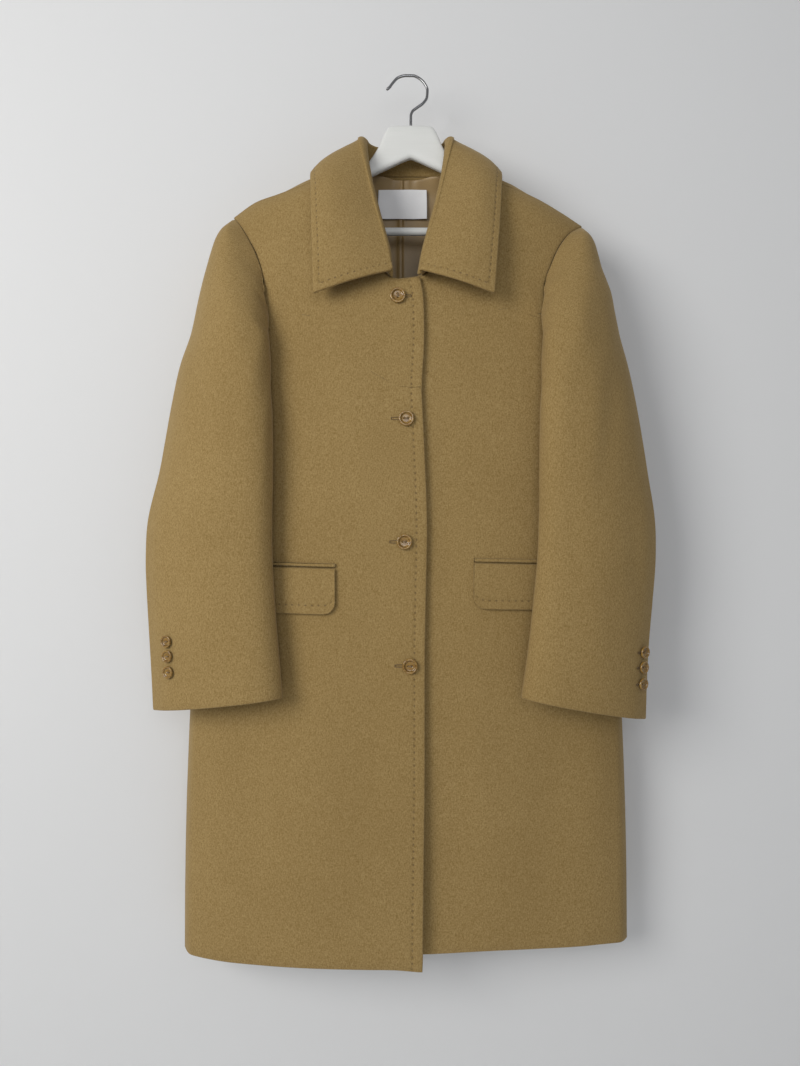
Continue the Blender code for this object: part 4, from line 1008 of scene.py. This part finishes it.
# Amber horn: cloudy bands of light and dark honey, glossy with faint scratches.
def makeHorn(name):
    made, shader, start, place = startMaterial(
        name, Coat_Roughness=0.12, IOR=1.54, Subsurface_Weight=0.12, Subsurface_Radius=(0.004, 0.002, 0.001),
        Subsurface_Scale=0.3, Coat_IOR=1.5)
    cloud = noise(start, stretched(start, place, (1.0, 1.0, 2.4)), 130.0, 3.0, 0.6)
    streak = noise(start, stretched(start, place, (0.4, 1.0, 1.6)), 520.0, 2.0, 0.5)
    ramp = start.node("ShaderNodeValToRGB", {"stops": [
        (0.30, (0.150, 0.076, 0.014)), (0.48, (0.250, 0.138, 0.028)), (0.62, (0.340, 0.200, 0.046)),
        (0.78, (0.460, 0.300, 0.090))]}, {"Fac": cloud * 0.75 + streak * 0.25})
    # Painted shade: the button's holes and the ring on its face, as marked, darken to near black.
    sunk = start.node("ShaderNodeAttribute", {"attribute_name": "seam"}, {}, 2)
    feed(start, shader, "Base Color", mixed(start, sunk.atMost(1.0), ramp, (0.020, 0.009, 0.003, 1.0)))
    feed(start, shader, "Roughness", streak * 0.22 + 0.14)
    feed(start, shader, "Coat Weight", cloud * 0.5 + 0.2)
    feedBump(start, shader, 0.12, 0.1 * mm, streak)
    return made


# Painted wood: an even white with the grain just showing through as long low ridges.
def makePaint(name):
    made, shader, start, place = startMaterial(name, IOR=1.5, Coat_Roughness=0.25, Coat_IOR=1.5)
    grain = noise(start, stretched(start, place, (0.06, 1.0, 1.0)), 420.0, 4.0, 0.6)
    slow = noise(start, place, 14.0, 3.0, 0.5)
    body = mixed(start, grain * 0.5 + slow * 0.4, (0.69, 0.70, 0.67, 1.0), (0.80, 0.80, 0.78, 1.0))
    feed(start, shader, "Base Color", body)
    feed(start, shader, "Roughness", grain * 0.18 + slow * 0.14 + 0.26)
    feed(start, shader, "Coat Weight", slow * 0.3 + 0.05)
    feedBump(start, shader, 0.22, 0.2 * mm, grain + slow)
    return made


# Bright wire: drawn lines round it, with spots of duller plate.
def makeSteel(name):
    made, shader, start, place = startMaterial(name, Metallic=1.0)
    drawn = noise(start, stretched(start, place, (1.0, 3.0, 1.0)), 900.0, 2.0, 0.5)
    spots = noise(start, place, 160.0, 3.0, 0.6)
    body = mixed(start, spots * 0.8, (0.34, 0.34, 0.35, 1.0), (0.20, 0.20, 0.20, 1.0))
    feed(start, shader, "Base Color", body)
    feed(start, shader, "Roughness", drawn * 0.16 + spots * 0.16 + 0.08)
    feedBump(start, shader, 0.1, 0.05 * mm, drawn)
    return made


wool = makeWool("feltedWool")
liningSatin = makeSatin(
    "brownLiningSatin", satinLook["base"], satinLook["light"], 0.32, satinLook["threadScale"])
labelSatin = makeSatin("whiteLabelSatin", (0.80, 0.80, 0.81, 1.0), (0.93, 0.93, 0.94, 1.0), 0.34, 3000.0)
horn = makeHorn("amberHorn")
whitePaint = makePaint("whitePaint")
steel = makeSteel("brightWire")
thread = makeSatin("stitchThread", (0.115, 0.070, 0.024, 1.0), (0.215, 0.135, 0.050, 1.0), 0.6, 5000.0)
paleThread = makeSatin("buttonThread", (0.17, 0.105, 0.045, 1.0), (0.32, 0.22, 0.11, 1.0), 0.6, 5000.0)
print("materials made")


# The part of a panel that is stitched or seamed: 1 in a seam's valley, 0 a little way off; there the wool's
# bump sinks and its colour gets painted shade. Which edges are seams is four values for top, bottom,
# first column and last column.
def seamMark(distances, seams):
    mark = np.zeros(distances[0].shape)
    for distance, share in zip(distances, seams):
        mark = np.maximum(mark, share * np.exp(-(distance / shellForm["seamReach"] * 2.2) ** 2))
    return mark


stitchForm = {
    "inset": {"front": 13.0 * mm, "collar": 8.5 * mm, "flap": 11.0 * mm},
    "pitch": 8.0 * mm,
    "length": 2.9 * mm,
    "radius": 0.42 * mm,
    "sunk": 0.12 * mm,
    "far": 100.0,  # the pattern's place where nothing is stitched
}


# Where the stitched line lies: the distance to the nearest stitched edge over the line's inset, and the
# length run along that edge over the pitch. stitched is (inset, edges), an edge 1, 2 or 3 as measured.
def stitchUv(grid, distances, stitched):
    if stitched is None:
        return np.full(grid.shape[:2] + (2,), stitchForm["far"])
    inset, edges = stitched
    runs = [distances[2] * 0, distances[2][-1:] + distances[0] * 0, distances[0][:, :1] + distances[0] * 0,
            distances[0][:, -1:] + distances[0] * 0]
    near = np.stack([distances[edge] for edge in edges])
    run = np.stack([runs[edge] for edge in edges])
    nearest = near.argmin(axis=0)[None]
    inside, along = (np.take_along_axis(values, nearest, 0)[0] for values in (near, run))
    return np.stack([inside / inset, along / stitchForm["pitch"]], -1)


# One cloth panel: the coarse grid refined, folded, sunk at its seams and given its thickness.
def panel(name, grid, facing, thickness, seams, table=(), sign=1, stitched=None):
    fine = refined(grid, shellForm["fineness"])
    away = unit(refined(facing, shellForm["fineness"]))
    distances = edgeDistances(fine)
    sink = np.zeros(fine.shape[:2])
    for distance, share in zip(distances, seams):
        sink = np.maximum(sink, share * np.exp(-(distance / shellForm["seamReach"]) ** 2))
    fromSeam = np.minimum.reduce([d if s else d * 0 + 1 for d, s in zip(distances, seams)])
    held = np.clip(fromSeam / shellForm["foldFade"], 0, 1)
    height = foldHeight(fine, table, sign) * held - sink * shellForm["seamSink"] * 0.5
    fine = fine + away * height[..., None]
    uv = stitchUv(fine, distances, stitched)
    mark = seamMark(distances, seams)
    return clothWall(name, fine, away, thickness, wool, uv, mark), fine, away


pieces = {}
surfaces = {}


def declare(name, made, replaced=None):
    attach(made, "root")
    if replaced:
        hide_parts(replaced)
    pieces[name] = made


# Declares a cloth and remembers its surface for the stitches.
def keep(name, slot, made, fine, away, replaced):
    surfaces[name] = (fine, away)
    declare(name, made, replaced)


# Makes a wool panel and keeps it.
def keepPanel(name, replaced, *shape, **finish):
    keep(name + "_cloth", "wool", *panel(name + "_cloth", *shape, **finish), replaced)


seamsOf = {
    "front": (0.6, 0, 0, 0.5), "back": (0.6, 0, 0.6, 0.6), "top": (0.4, 0, 0.5, 0.6),
    "under": (0.5, 0, 0.6, 0.5), "collar": (0.8, 0, 0, 0), "pocket": (0, 0, 0, 0),
}
for side in sideWays:
    name = "front_" + side
    stitched = (stitchForm["inset"]["front"], (2,)) if side == "right" else None
    keepPanel(name, name, fronts[side], directions[side], cut["cloth"], seamsOf["front"], folds[name],
              sideWays[side][0], stitched)
keepPanel("back", "back", back, directions["back"], cut["cloth"], seamsOf["back"], folds["back"])
for (side, which), grid in sleeves.items():
    part = ("top", "under")[which]
    name = f"sleeve_{side}_{part}"
    keepPanel(name, name, grid, directions[side, which], cut["cloth"], seamsOf[part], folds["sleeve_" + side],
              sideWays[side][0])
keepPanel("collar", "collar", collar, directions["collar"], collarForm["collarWall"], seamsOf["collar"],
          folds["collar"], stitched=(stitchForm["inset"]["collar"], (1, 2, 3)))
print("cloth panels made")


# A refined sheet without stitches or seams, lifted along the way it faces, as a wall with a thin rim.
def plainSheet(name, fine, away, lift, wall, material, edge):
    fine = fine + away * lift[..., None]
    flat = np.full(fine.shape[:2] + (2,), stitchForm["far"])
    return clothWall(name, fine, away, wall, material, flat, flat[..., 0] * 0, edge), fine, away


# The lining hangs inside the back; it is gathered under the neck seam and has one pleat at the middle.
# Gathers are a sine across it whose pitch wanders, fading downwards; slack is a slow sine below them.
def makeLining():
    x = liningForm["liningX"]
    bottomH = heightToH(x, np.full(len(x), liningForm["liningBottom"]))
    share = np.linspace(0, 1, liningForm["liningRows"] + 1)[:, None]
    h = liningForm["liningTop"] + (bottomH - liningForm["liningTop"]) * share
    grid = shell(x * (0.72 + 0.28 * np.minimum(share * 3, 1)), h, 2)
    facing = facingFront(grid)
    grid = grid + facing * (liningForm["liningGap"] + liningForm["pleat"])[None, :, None]
    fine = refined(grid, liningForm["fineness"])
    away = unit(refined(facing, liningForm["fineness"]))
    x, down = fine[..., 0], edgeDistances(fine)[0]
    gathers = np.sin(x / 2.6e-3 + 1.6 * np.sin(x / 9e-3)) * np.exp(-down / (16 * mm))
    slack = np.sin(x / 21e-3 + fine[..., 2] / 35e-3) * np.clip(down / (60 * mm), 0, 1)
    lift = gathers * liningForm["gatherHeight"] + slack * liningForm["slackHeight"]
    wall, edge = liningForm["liningWall"], liningForm["edge"]
    return plainSheet("lining_cloth", fine, away, lift, wall, liningSatin, edge)


keep("lining_cloth", "lining_satin", *makeLining(), "lining_back")


# The label stands a little off the lining and curls at its lower corners.
def makeLabel():
    x, z = np.meshgrid(labelForm["labelX"], labelForm["labelZ"])
    grid = shell(x, heightToH(x, z), 2)
    facing = facingFront(grid)
    fine = refined(grid + facing * labelForm["labelGap"], labelForm["fineness"])
    away = unit(refined(facing, labelForm["fineness"]))
    across = np.linspace(-1, 1, fine.shape[1])[None]
    down = np.linspace(0, 1, fine.shape[0])[:, None]
    lift = labelForm["curl"] * down ** 2 * across ** 2 + labelForm["ripple"] * np.sin(across * 5 + down * 2)
    return plainSheet("label_cloth", fine, away, lift, labelForm["labelWall"], labelSatin, labelForm["edge"])


keep("label_cloth", "label_satin", *makeLabel(), "label")

# share of a flap's length at each column, close together at its rounded corners
flapShare = np.array([0, 0.006, 0.022, 0.065, 0.18, 0.32, 0.5, 0.68, 0.82, 0.935, 0.978, 0.994, 1])


# Points lying on a front, a piece's half thickness off it, and the direction they face.
def laidOn(side, x, z, thickness, lift=0.0):
    base = shell(x, -heightToH(x, z), sideWays[side][1])
    facing = facingFront(base)
    away = cut["cloth"] / 2 + pocketForm["pieceGap"] + thickness / 2 + lift
    return base + facing * away, facing


# A welt and the flap under it; the flap's lower corners are quarter rounds.
def makePocket(side):
    innerX, outerX, outerZ, innerZ = pocketForm["pockets"][side]
    x = (innerX + (outerX - innerX) * flapShare) * mm
    topZ = (innerZ + (outerZ - innerZ) * flapShare) * mm
    rows = np.linspace(0, 1, 3)[:, None]
    weltZ = topZ - pocketForm["weltHeight"] * rows
    grid, facing = laidOn(side, x * np.ones((3, 1)), weltZ, pocketForm["weltWall"])
    keepPanel("welt_" + side, "pocket_welt_" + side, grid, facing, pocketForm["weltWall"], seamsOf["pocket"])
    edge = np.minimum(flapShare, 1 - flapShare) * abs(outerX - innerX) * mm
    corner = pocketForm["flapCorner"]
    short = corner - np.sqrt(np.maximum(corner ** 2 - np.maximum(corner - edge, 0) ** 2, 0))
    rows = np.linspace(0, 1, 6)[:, None]
    flapTop = topZ - pocketForm["weltHeight"] - 2 * pocketForm["pieceGap"]
    z = flapTop - (pocketForm["flapHeight"] - short) * rows
    lift = (pocketForm["flapLift"] * rows * np.ones_like(z))[..., None]
    grid, facing = laidOn(side, x * np.ones_like(z), z, pocketForm["flapWall"], lift)
    keepPanel("flap_" + side, "flap_" + side, grid, facing, pocketForm["flapWall"], seamsOf["pocket"],
              stitched=(stitchForm["inset"]["flap"], (1,)))


for side in sideWays:
    makePocket(side)
print("lining, label and pockets made")


# A line at a set distance inside one edge of a surface, with the direction it faces and the run along
# the edge: the point is a blend of the two columns, or rows, that the distance falls between.
def insetLine(surface, edge, inset):
    grid, away = surface
    distances = edgeDistances(grid)
    run = (distances[2][-1], distances[0][:, 0], distances[0][:, -1])[edge - 1]
    depth = distances[edge].T if edge == 1 else distances[edge]
    points, facing = (grid.swapaxes(0, 1), away.swapaxes(0, 1)) if edge == 1 else (grid, away)
    if edge != 2:
        depth, points, facing = depth[:, ::-1], points[:, ::-1], facing[:, ::-1]
    cell = np.clip((depth < inset).sum(axis=1), 1, depth.shape[1] - 1)
    rows = np.arange(len(cell))
    low, high = depth[rows, cell - 1], depth[rows, cell]
    share = ((inset - low) / np.maximum(high - low, 1e-9))[:, None]
    line = points[rows, cell - 1] * (1 - share) + points[rows, cell] * share
    return line, unit(facing[rows, cell]), run


# Short rounded threads along a line, one at each pitch: every one is a ring carried along its length,
# thinning at both ends.
def stitchesOn(line, facing, run, thickness, start, end):
    pitch = stitchForm["pitch"]
    count = int((run[-1] - start - end) / pitch)
    at = (np.floor(start / pitch) + 1.5 + np.arange(count)) * pitch
    at = at[at < run[-1] - end]
    pick = lambda values: np.stack([np.interp(at, run, values[:, axis]) for axis in range(3)], -1)
    centre, up = pick(line), unit(pick(facing))
    along = unit(pick(np.gradient(line, axis=0)))
    sideways = np.cross(along, up)
    place = np.linspace(-1, 1, 7)
    thin = np.sqrt(np.clip(1 - place ** 4, 0.02, 1))
    turn = np.arange(8) / 8 * 2 * math.pi
    centre = centre + up * (thickness / 2 - stitchForm["sunk"])
    ring = np.cos(turn)[:, None] * sideways[:, None, None] + np.sin(turn)[:, None] * up[:, None, None]
    points = (
        centre[:, None, None] + place[None, :, None, None] * along[:, None, None] * stitchForm["length"] / 2
        + ring * (thin[None, :, None, None] * stitchForm["radius"])
    )
    index = np.arange(points[..., 0].size).reshape(points.shape[:3])
    index = np.concatenate([index, index[:, :, :1]], axis=2)
    a, b, c, d = index[:, :-1, :-1], index[:, :-1, 1:], index[:, 1:, 1:], index[:, 1:, :-1]
    return points.reshape(-1, 3), np.stack([a, b, c, d], -1).reshape(-1, 4)


# Joins lists of (points, faces) into one.
def joined(parts):
    starts = np.cumsum([0] + [len(points) for points, faces in parts[:-1]])
    points = np.concatenate([points for points, faces in parts])
    faces = np.concatenate([faces + start for (_, faces), start in zip(parts, starts)])
    return points, faces


# One piece from several rows of stitches.
def addStitches(name, parts):
    declare(name, addMesh(name, *joined(parts), thread))


inset = stitchForm["inset"]
# each row of stitches: edge of the surface, and how far from the edge's two ends it starts and stops
for name, surface, wall, gap, rows in (
    ("front", "front_right", cut["cloth"], inset["front"], [(2, 12, 8)]),
    ("collar", "collar", collarForm["collarWall"], inset["collar"], [(1, 10, 10), (2, 60, 9), (3, 60, 9)]),
    ("flap_right", "flap_right", pocketForm["flapWall"], inset["flap"], [(1, 10, 10)]),
    ("flap_left", "flap_left", pocketForm["flapWall"], inset["flap"], [(1, 10, 10)]),
):
    addStitches("stitches_" + name, [
        stitchesOn(*insetLine(surfaces[surface + "_cloth"], edge, gap), wall, start * mm, end * mm)
        for edge, start, end in rows
    ])
print("stitches made")

buttonLook = {
    "steps": 96,
    "rings": 40,
    "holeOffset": 0.21,  # each hole's centre and radius, in shares of the button's radius
    "holeRadius": 0.115,
    # the dark ring is painted shade where the face dips inside the rim
    "paintedRingShade": (0.45, 0.66, 0.035),  # strength, place and width of the dark ring on the face
    "threadRadius": 0.42 * mm,
    "holesUpright": (True, False, False, False),
    "buttonhole": 11.0 * mm,
    "cuffButtonhole": 6.5 * mm,
    "shift": (5.0 * mm, -7.0 * mm, -6.5 * mm, -7.0 * mm),
    "cuffShift": -5.0 * mm,
}
# share of the radius and of the height, round the button's section from the back to the front
buttonSection = np.array([
    (0.0, 0.0), (0.80, 0.0), (0.95, 0.14), (1.0, 0.42), (0.985, 0.74), (0.92, 0.97), (0.82, 1.0),
    (0.72, 0.86), (0.64, 0.50), (0.45, 0.36), (0.0, 0.32),
])


# Two directions across a facing one: sideways and up.
def acrossOf(facing):
    sideways = unit(np.cross(facing, (0.0, 0.0, 1.0)))
    return sideways, np.cross(sideways, facing)


# A turned button: its section carried round, with two holes sunk where the face dips past them; the holes and
# a ring on the face carry painted shade.
def makeButton(name, replaced, centre, facing, radius, height, upright):
    facing = unit(facing)
    sideways, up = acrossOf(facing)
    arc = arcOf(buttonSection)
    share = np.linspace(0, arc[-1], buttonLook["rings"])
    section = smooth(arc, buttonSection, share)
    turn = np.arange(buttonLook["steps"] + 1) / buttonLook["steps"] * 2 * math.pi
    across = section[:, :1] * np.cos(turn)
    along = section[:, :1] * np.sin(turn)
    rise = np.repeat(section[:, 1:], len(turn), axis=1)
    front = share[:, None] > arc[5]
    # Marks for painted shade: 1 in the sunk holes, and a ring where the face dips inside the rim.
    holeAndRingShade = np.zeros(across.shape)
    for way in (-1, 1):
        offset = way * buttonLook["holeOffset"]
        off = np.hypot(across, along - offset) if upright else np.hypot(across - offset, along)
        sunk = 1 / (1 + np.exp((off - buttonLook["holeRadius"]) * 90))
        rise = rise - np.where(front, sunk * (rise - 0.1), 0)
        holeAndRingShade = np.maximum(holeAndRingShade, np.where(front, sunk, 0))
    strength, place, width = buttonLook["paintedRingShade"]
    holeAndRingShade = np.maximum(holeAndRingShade, strength * np.exp(-((section[:, :1] - place) / width) ** 2) * front)
    points = (
        centre + (across[..., None] * sideways + along[..., None] * up) * radius
        + rise[..., None] * facing * height
    )
    faces = quads(closedIndex(points))[:, ::-1]
    made = addMesh(name, points.reshape(-1, 3), faces, horn, mark=holeAndRingShade.ravel())
    declare(name, made, replaced)
    ends = np.array([-1, 1])[:, None] * (up if upright else sideways) * radius * buttonLook["holeOffset"]
    return [threadLoop(centre + facing * height * 0.5, ends, facing, shift) for shift in (-0.5, 0.5)]


# A tube along a path of points; each ring is turned round the path's own direction.
def tube(path, radius, sides=10):
    along = unit(np.gradient(path, axis=0))
    first = unit(np.cross(along, (0.31, 0.17, 0.94)))
    second = np.cross(along, first)
    turn = np.arange(sides + 1) / sides * 2 * math.pi
    radius = np.broadcast_to(radius, len(path))[:, None, None]
    ring = np.cos(turn)[:, None] * first[:, None] + np.sin(turn)[:, None] * second[:, None]
    points = path[:, None] + ring * radius
    return points.reshape(-1, 3), quads(closedIndex(points))


# A thread from one hole to the other: a low arch over the face.
def threadLoop(middle, ends, facing, shift):
    share = np.linspace(-1, 1, 13)[:, None]
    line = middle + ends[1] * share * 1.05 + np.cross(facing, unit(ends[1])) * shift * mm
    arch = (1 - share ** 4) * 0.75 * mm - 0.55 * mm
    return tube(line + facing * arch, buttonLook["threadRadius"])


# A buttonhole: thread wound round a slit, as a stadium whose tube swells at each turn of the thread.
def buttonholeLoop(centre, facing, half, width=1.5 * mm):
    sideways, up = acrossOf(unit(facing))
    turn = np.linspace(0, 2 * math.pi, 181)
    straight = np.clip(np.cos(turn) * 1.6, -1, 1) * half
    line = centre + straight[:, None] * sideways + (np.sin(turn) * width)[:, None] * up
    swell = 0.62 * mm * (1 + 0.16 * np.sin(turn * 60))
    return tube(line, swell, 8)


threads = []
loops = []
frontRadius, frontHeight = buttonForm["frontButton"]
for number, (x, z) in enumerate(buttonForm["frontButtons"], 1):
    gridX, gridZ = np.meshgrid([x - mm, x, x + mm], [z + mm, z, z - mm])
    spot, facing = laidOn("right", gridX, gridZ, 0.0, buttonForm["buttonGap"])
    upright = buttonLook["holesUpright"][number - 1]
    threads += makeButton(f"button_front_{number}", f"front_button_{number}", spot[1, 1], facing[1, 1],
                          frontRadius, frontHeight, upright)
    spot, facing = laidOn("right", gridX + buttonLook["shift"][number - 1], gridZ, 0.0, 0.0)
    loops.append(buttonholeLoop(spot[1, 1] - facing[1, 1] * 0.5 * mm, facing[1, 1], buttonLook["buttonhole"]))

cuffRadius, cuffHeight = buttonForm["cuffButton"]
for side, (stations, angle) in buttonForm["cuffButtons"].items():
    sign = sideWays[side][0]
    for number, station in enumerate(stations, 1):
        around = np.radians([angle - 2.0, angle, angle + 2.0])[None] * np.ones((3, 1))
        along = np.array([station - 0.02, station, station + 0.02])
        spot = ringPoints(sleeveForm["sleeves"][side], along, around, sign)
        facing = normalsOf(spot)[1, 1]
        facing *= np.sign((facing * (sign, -0.5, 0)).sum())
        centre = spot[1, 1] + facing * (cut["cloth"] / 2 + buttonForm["cuffButtonGap"])
        tilted = facing + (0, -buttonForm["cuffButtonTilt"], 0)
        name = f"{side}_{number}"
        threads += makeButton(
            "button_cuff_" + name, "cuff_button_" + name, centre, tilted, cuffRadius, cuffHeight, False)
        sideways = acrossOf(unit(facing))[0]
        sideways = sideways * np.sign(sideways[0])
        base = spot[1, 1] + facing * (cut["cloth"] / 2 + 0.1 * mm)
        loops.append(buttonholeLoop(
            base + sideways * buttonLook["cuffShift"], facing, buttonLook["cuffButtonhole"], 1.0 * mm))
for name, parts, material in (("button_threads", threads, paleThread), ("buttonholes", loops, thread)):
    declare(name, addMesh(name, *joined(parts), material))
print("buttons made")


hangerForm = {
    "middle": 6.0,
    "thickness": 13.0,
    "sections": 150,
    "sides": 32,
    "squareness": 0.55,  # 1 is an ellipse, less is squarer
    # distance from the middle, top and bottom of the arm
    "arm": np.array([
        (0, -62.7, -104), (14, -62.9, -110), (26, -64, -115.5), (30, -67, -117.3), (34, -75, -119.2),
        (40, -89, -122), (48, -102, -125.8), (56, -113, -130), (70, -125, -138), (90, -136, -148),
        (115, -148, -159), (140, -159, -169), (155, -166, -176), (157, -167.5, -203),
        (168, -173.5, -204), (176, -179, -200), (181, -183, -192),
    ]),
    "barHeight": -196.5,
    "barRadius": 5.0,
    "barHalf": 155.6,
    "wireRadius": 1.75,
    "wireSections": 160,
    "barSections": 24,
    # x, z along the hook's wire from its tip over the top and down into the hanger
    "hook": np.array([
        (-25.0, -16.5), (-21.0, -13.2), (-16.5, -7.2), (-9.5, -0.6), (0.0, 1.75), (9.0, 1.6), (17.5, -2.2),
        (24.0, -9.0), (27.2, -17.0), (26.6, -25.5), (22.0, -33.0), (14.0, -39.0), (8.3, -43.6),
        (6.2, -49.5), (6.0, -62.2),
    ]),
}


# A body through rings of equal length, each end closed by a fan to the ring's middle.
def lofted(name, rings, material, replaced):
    count, sides = rings.shape[:2]
    index = np.arange(count * sides).reshape(count, sides)
    index = np.concatenate([index, index[:, :1]], axis=1)
    middles = rings[[0, -1]].mean(axis=1)
    faces = quads(index)[:, ::-1]
    ends = np.concatenate([rings.reshape(-1, 3), middles])
    size = count * sides
    first = np.stack([index[0, 1:], index[0, :-1], np.full(sides, size)], -1)
    last = np.stack([index[-1, :-1], index[-1, 1:], np.full(sides, size + 1)], -1)
    mesh = bpy.data.meshes.new(name)
    mesh.from_pydata((ends * mm).tolist(), [], faces.tolist() + first.tolist() + last.tolist())
    mesh.validate()
    mesh.polygons.foreach_set("use_smooth", np.ones(len(mesh.polygons), bool))
    mesh.materials.append(material)
    declare(name, linked(name, mesh), replaced)


turn = np.arange(hangerForm["sides"]) / hangerForm["sides"] * 2 * math.pi
roundY = np.sign(np.cos(turn)) * np.abs(np.cos(turn)) ** hangerForm["squareness"]
roundZ = np.sign(np.sin(turn)) * np.abs(np.sin(turn)) ** hangerForm["squareness"]
arm = hangerForm["arm"]
reach = arm[-1, 0] * np.sin(np.linspace(-1, 1, hangerForm["sections"]) * math.pi / 2)
edges = tableAt(arm, np.abs(reach))
middleZ, halfZ = edges.mean(axis=1), (edges[:, 0] - edges[:, 1]) / 2
lofted("hanger_wood", np.stack([
    hangerForm["middle"] + reach[:, None] + 0 * turn,
    roundY * hangerForm["thickness"] / 2 + 0 * reach[:, None],
    middleZ[:, None] + roundZ * halfZ[:, None],
], -1), whitePaint, "hanger_body")
along = np.linspace(-1, 1, hangerForm["barSections"]) * hangerForm["barHalf"]
lofted("hanger_bar_wood", np.stack([
    hangerForm["middle"] + along[:, None] + 0 * turn,
    hangerForm["barRadius"] * np.cos(turn) + 0 * along[:, None],
    hangerForm["barHeight"] + hangerForm["barRadius"] * np.sin(turn) + 0 * along[:, None],
], -1), whitePaint, "hanger_bar")

hookLine = hangerForm["hook"]
arc = arcOf(hookLine)
fromTip = np.linspace(0, arc[-1], hangerForm["wireSections"])
wire = smooth(arc, hookLine, fromTip)
step = unit(np.gradient(wire, axis=0))
tip = (1 - fromTip / hangerForm["wireRadius"]).clip(0)  # 1 at the wire's tip, which is rounded
radius = hangerForm["wireRadius"] * np.sqrt(np.clip(1 - tip ** 2, 0.04, 1))
lofted("hook_wire", np.stack([
    wire[:, :1] + radius[:, None] * np.cos(turn) * step[:, 1:],
    radius[:, None] * np.sin(turn),
    wire[:, 1:] - radius[:, None] * np.cos(turn) * step[:, :1],
], -1), steel, "hook")
print("hanger made")

# flat width, length and area of each cut as it shows, measured along the surfaces, in metres
cuts = {
    "front_right": (0.347, 1.023, 0.2760), "front_left": (0.357, 1.010, 0.2683),
    "back": (0.576, 1.058, 0.5254),
    "sleeve_right_top": (0.290, 0.727, 0.1293), "sleeve_right_under": (0.157, 0.545, 0.0563),
    "sleeve_left_top": (0.287, 0.725, 0.1260), "sleeve_left_under": (0.154, 0.545, 0.0544),
    "collar": (0.725, 0.148, 0.0742), "lining": (0.179, 0.240, 0.0396), "label": (0.064, 0.037, 0.0023),
    "flap_right": (0.178, 0.056, 0.0089), "flap_left": (0.177, 0.056, 0.0088),
}

for name, rest in (
    ("back", "hanger_wood"), ("sleeve_right_top", "front_right_cloth"), ("sleeve_right_under", "back_cloth"),
    ("sleeve_left_top", "front_left_cloth"), ("sleeve_left_under", "back_cloth"), ("collar", "back_cloth"),
    ("lining", "back_cloth"), ("label", "lining_cloth"), ("flap_right", "front_right_cloth"),
    ("flap_left", "front_left_cloth"),
):
    width, length, area = cuts[name]
    pieces[name + "_cloth"]

stageLook = {
    "wall": (0.74, 0.745, 0.75, 1.0),
    "wallDepth": 66.0 * mm,
    "floorDrop": 0.85,
    "size": 6.0,
    "keyPower": 32.0,
    "keyPlace": (-1.5, -1.75, 0.02),
    "keySize": 1.3,
    "fillPower": 9.0,
    "fillPlace": (0.15, -2.3, -0.05),
    "fillSize": 1.2,
    "backPower": 16.0,
    "backPlace": (-0.9, 2.6, 0.1),
    "backSize": 1.8,
    "air": 0.31,
}


# A pale wall or floor; its back and its shadow rays let light through, so the coat is seen from behind.
def makePale(name, seenThrough):
    made, shader, start, place = startMaterial(name, Roughness=0.9)
    slow = noise(start, place, 1.6, 3.0, 0.5)
    fine = noise(start, place, 300.0, 3.0, 0.6)
    tone = mixed(start, slow * 0.25, stageLook["wall"], (0.66, 0.66, 0.66, 1.0))
    feed(start, shader, "Base Color", tone)
    feedBump(start, shader, 0.1, 0.4 * mm, fine)
    if seenThrough:
        behind = start.node("ShaderNodeNewGeometry", {}, {}, 6)
        shadowRay = start.node("ShaderNodeLightPath", {}, {}, 1)
        clear = start.node("ShaderNodeBsdfTransparent", {}, {}, 0)
        pale = Socket(start.tree, shader.outputs[0])
        seen = start.node("ShaderNodeMixShader", {}, {0: behind.atLeast(shadowRay), 1: pale, 2: clear})
        start.tree.links.new(seen.link, start.tree.nodes["Material Output"].inputs["Surface"])
    return made


# A flat piece of the stage between four corners.
def addPlane(name, corners, material):
    mesh = bpy.data.meshes.new(name)
    mesh.from_pydata(corners, [], [(0, 1, 2, 3)])
    mesh.materials.append(material)
    linked(name, mesh)


size, wallY = stageLook["size"], stageLook["wallDepth"]
floorZ = cadBox[0][2] - stageLook["floorDrop"]
addPlane("wall", [(-size, wallY, floorZ), (size, wallY, floorZ), (size, wallY, size), (-size, wallY, size)],
         makePale("paleWall", True))
addPlane("floor", [
    (-size, -size, floorZ), (size, -size, floorZ), (size, size, floorZ), (-size, size, floorZ),
], makePale("paleFloor", False))


# A round soft light that faces the middle of the coat.
def addLight(name, place, size, power, colour):
    made = linked(name, bpy.data.lights.new(name, "AREA"))
    made.data.shape = "DISK"
    made.data.size = size
    made.data.energy = power
    made.data.color = colour
    made.location = place
    made.rotation_euler = (centre - Vector(place)).to_track_quat("-Z", "Y").to_euler()


centre = Vector((0.0, 0.0, (cadBox[0][2] + cadBox[1][2]) / 2))
for light, tint in (("key", (1.0, 0.985, 0.955)), ("fill", (0.95, 0.97, 1.0)), ("back", (1.0, 1.0, 1.0))):
    place, size, power = (stageLook[light + value] for value in ("Place", "Size", "Power"))
    addLight(light + "Light", place, size, power, tint)
world = bpy.data.worlds.new("softAir")
bpy.context.scene.world = world
world.use_nodes = True
background = world.node_tree.nodes["Background"]
background.inputs[0].default_value = (0.97, 0.98, 1.0, 1.0)
background.inputs[1].default_value = stageLook["air"]
bpy.context.scene.view_settings.view_transform = "Standard"

cameraForm = {"place": (-7.6 * mm, -1.019, -0.579), "lens": 27.1, "sensor": 36.0}
camera = linked("camera", bpy.data.cameras.new("camera"))
camera.location = cameraForm["place"]
camera.rotation_euler = (math.pi / 2, 0.0, 0.0)
camera.data.lens = cameraForm["lens"]
camera.data.sensor_width = cameraForm["sensor"]
bpy.context.scene.camera = camera
print("stage, light and camera placed")
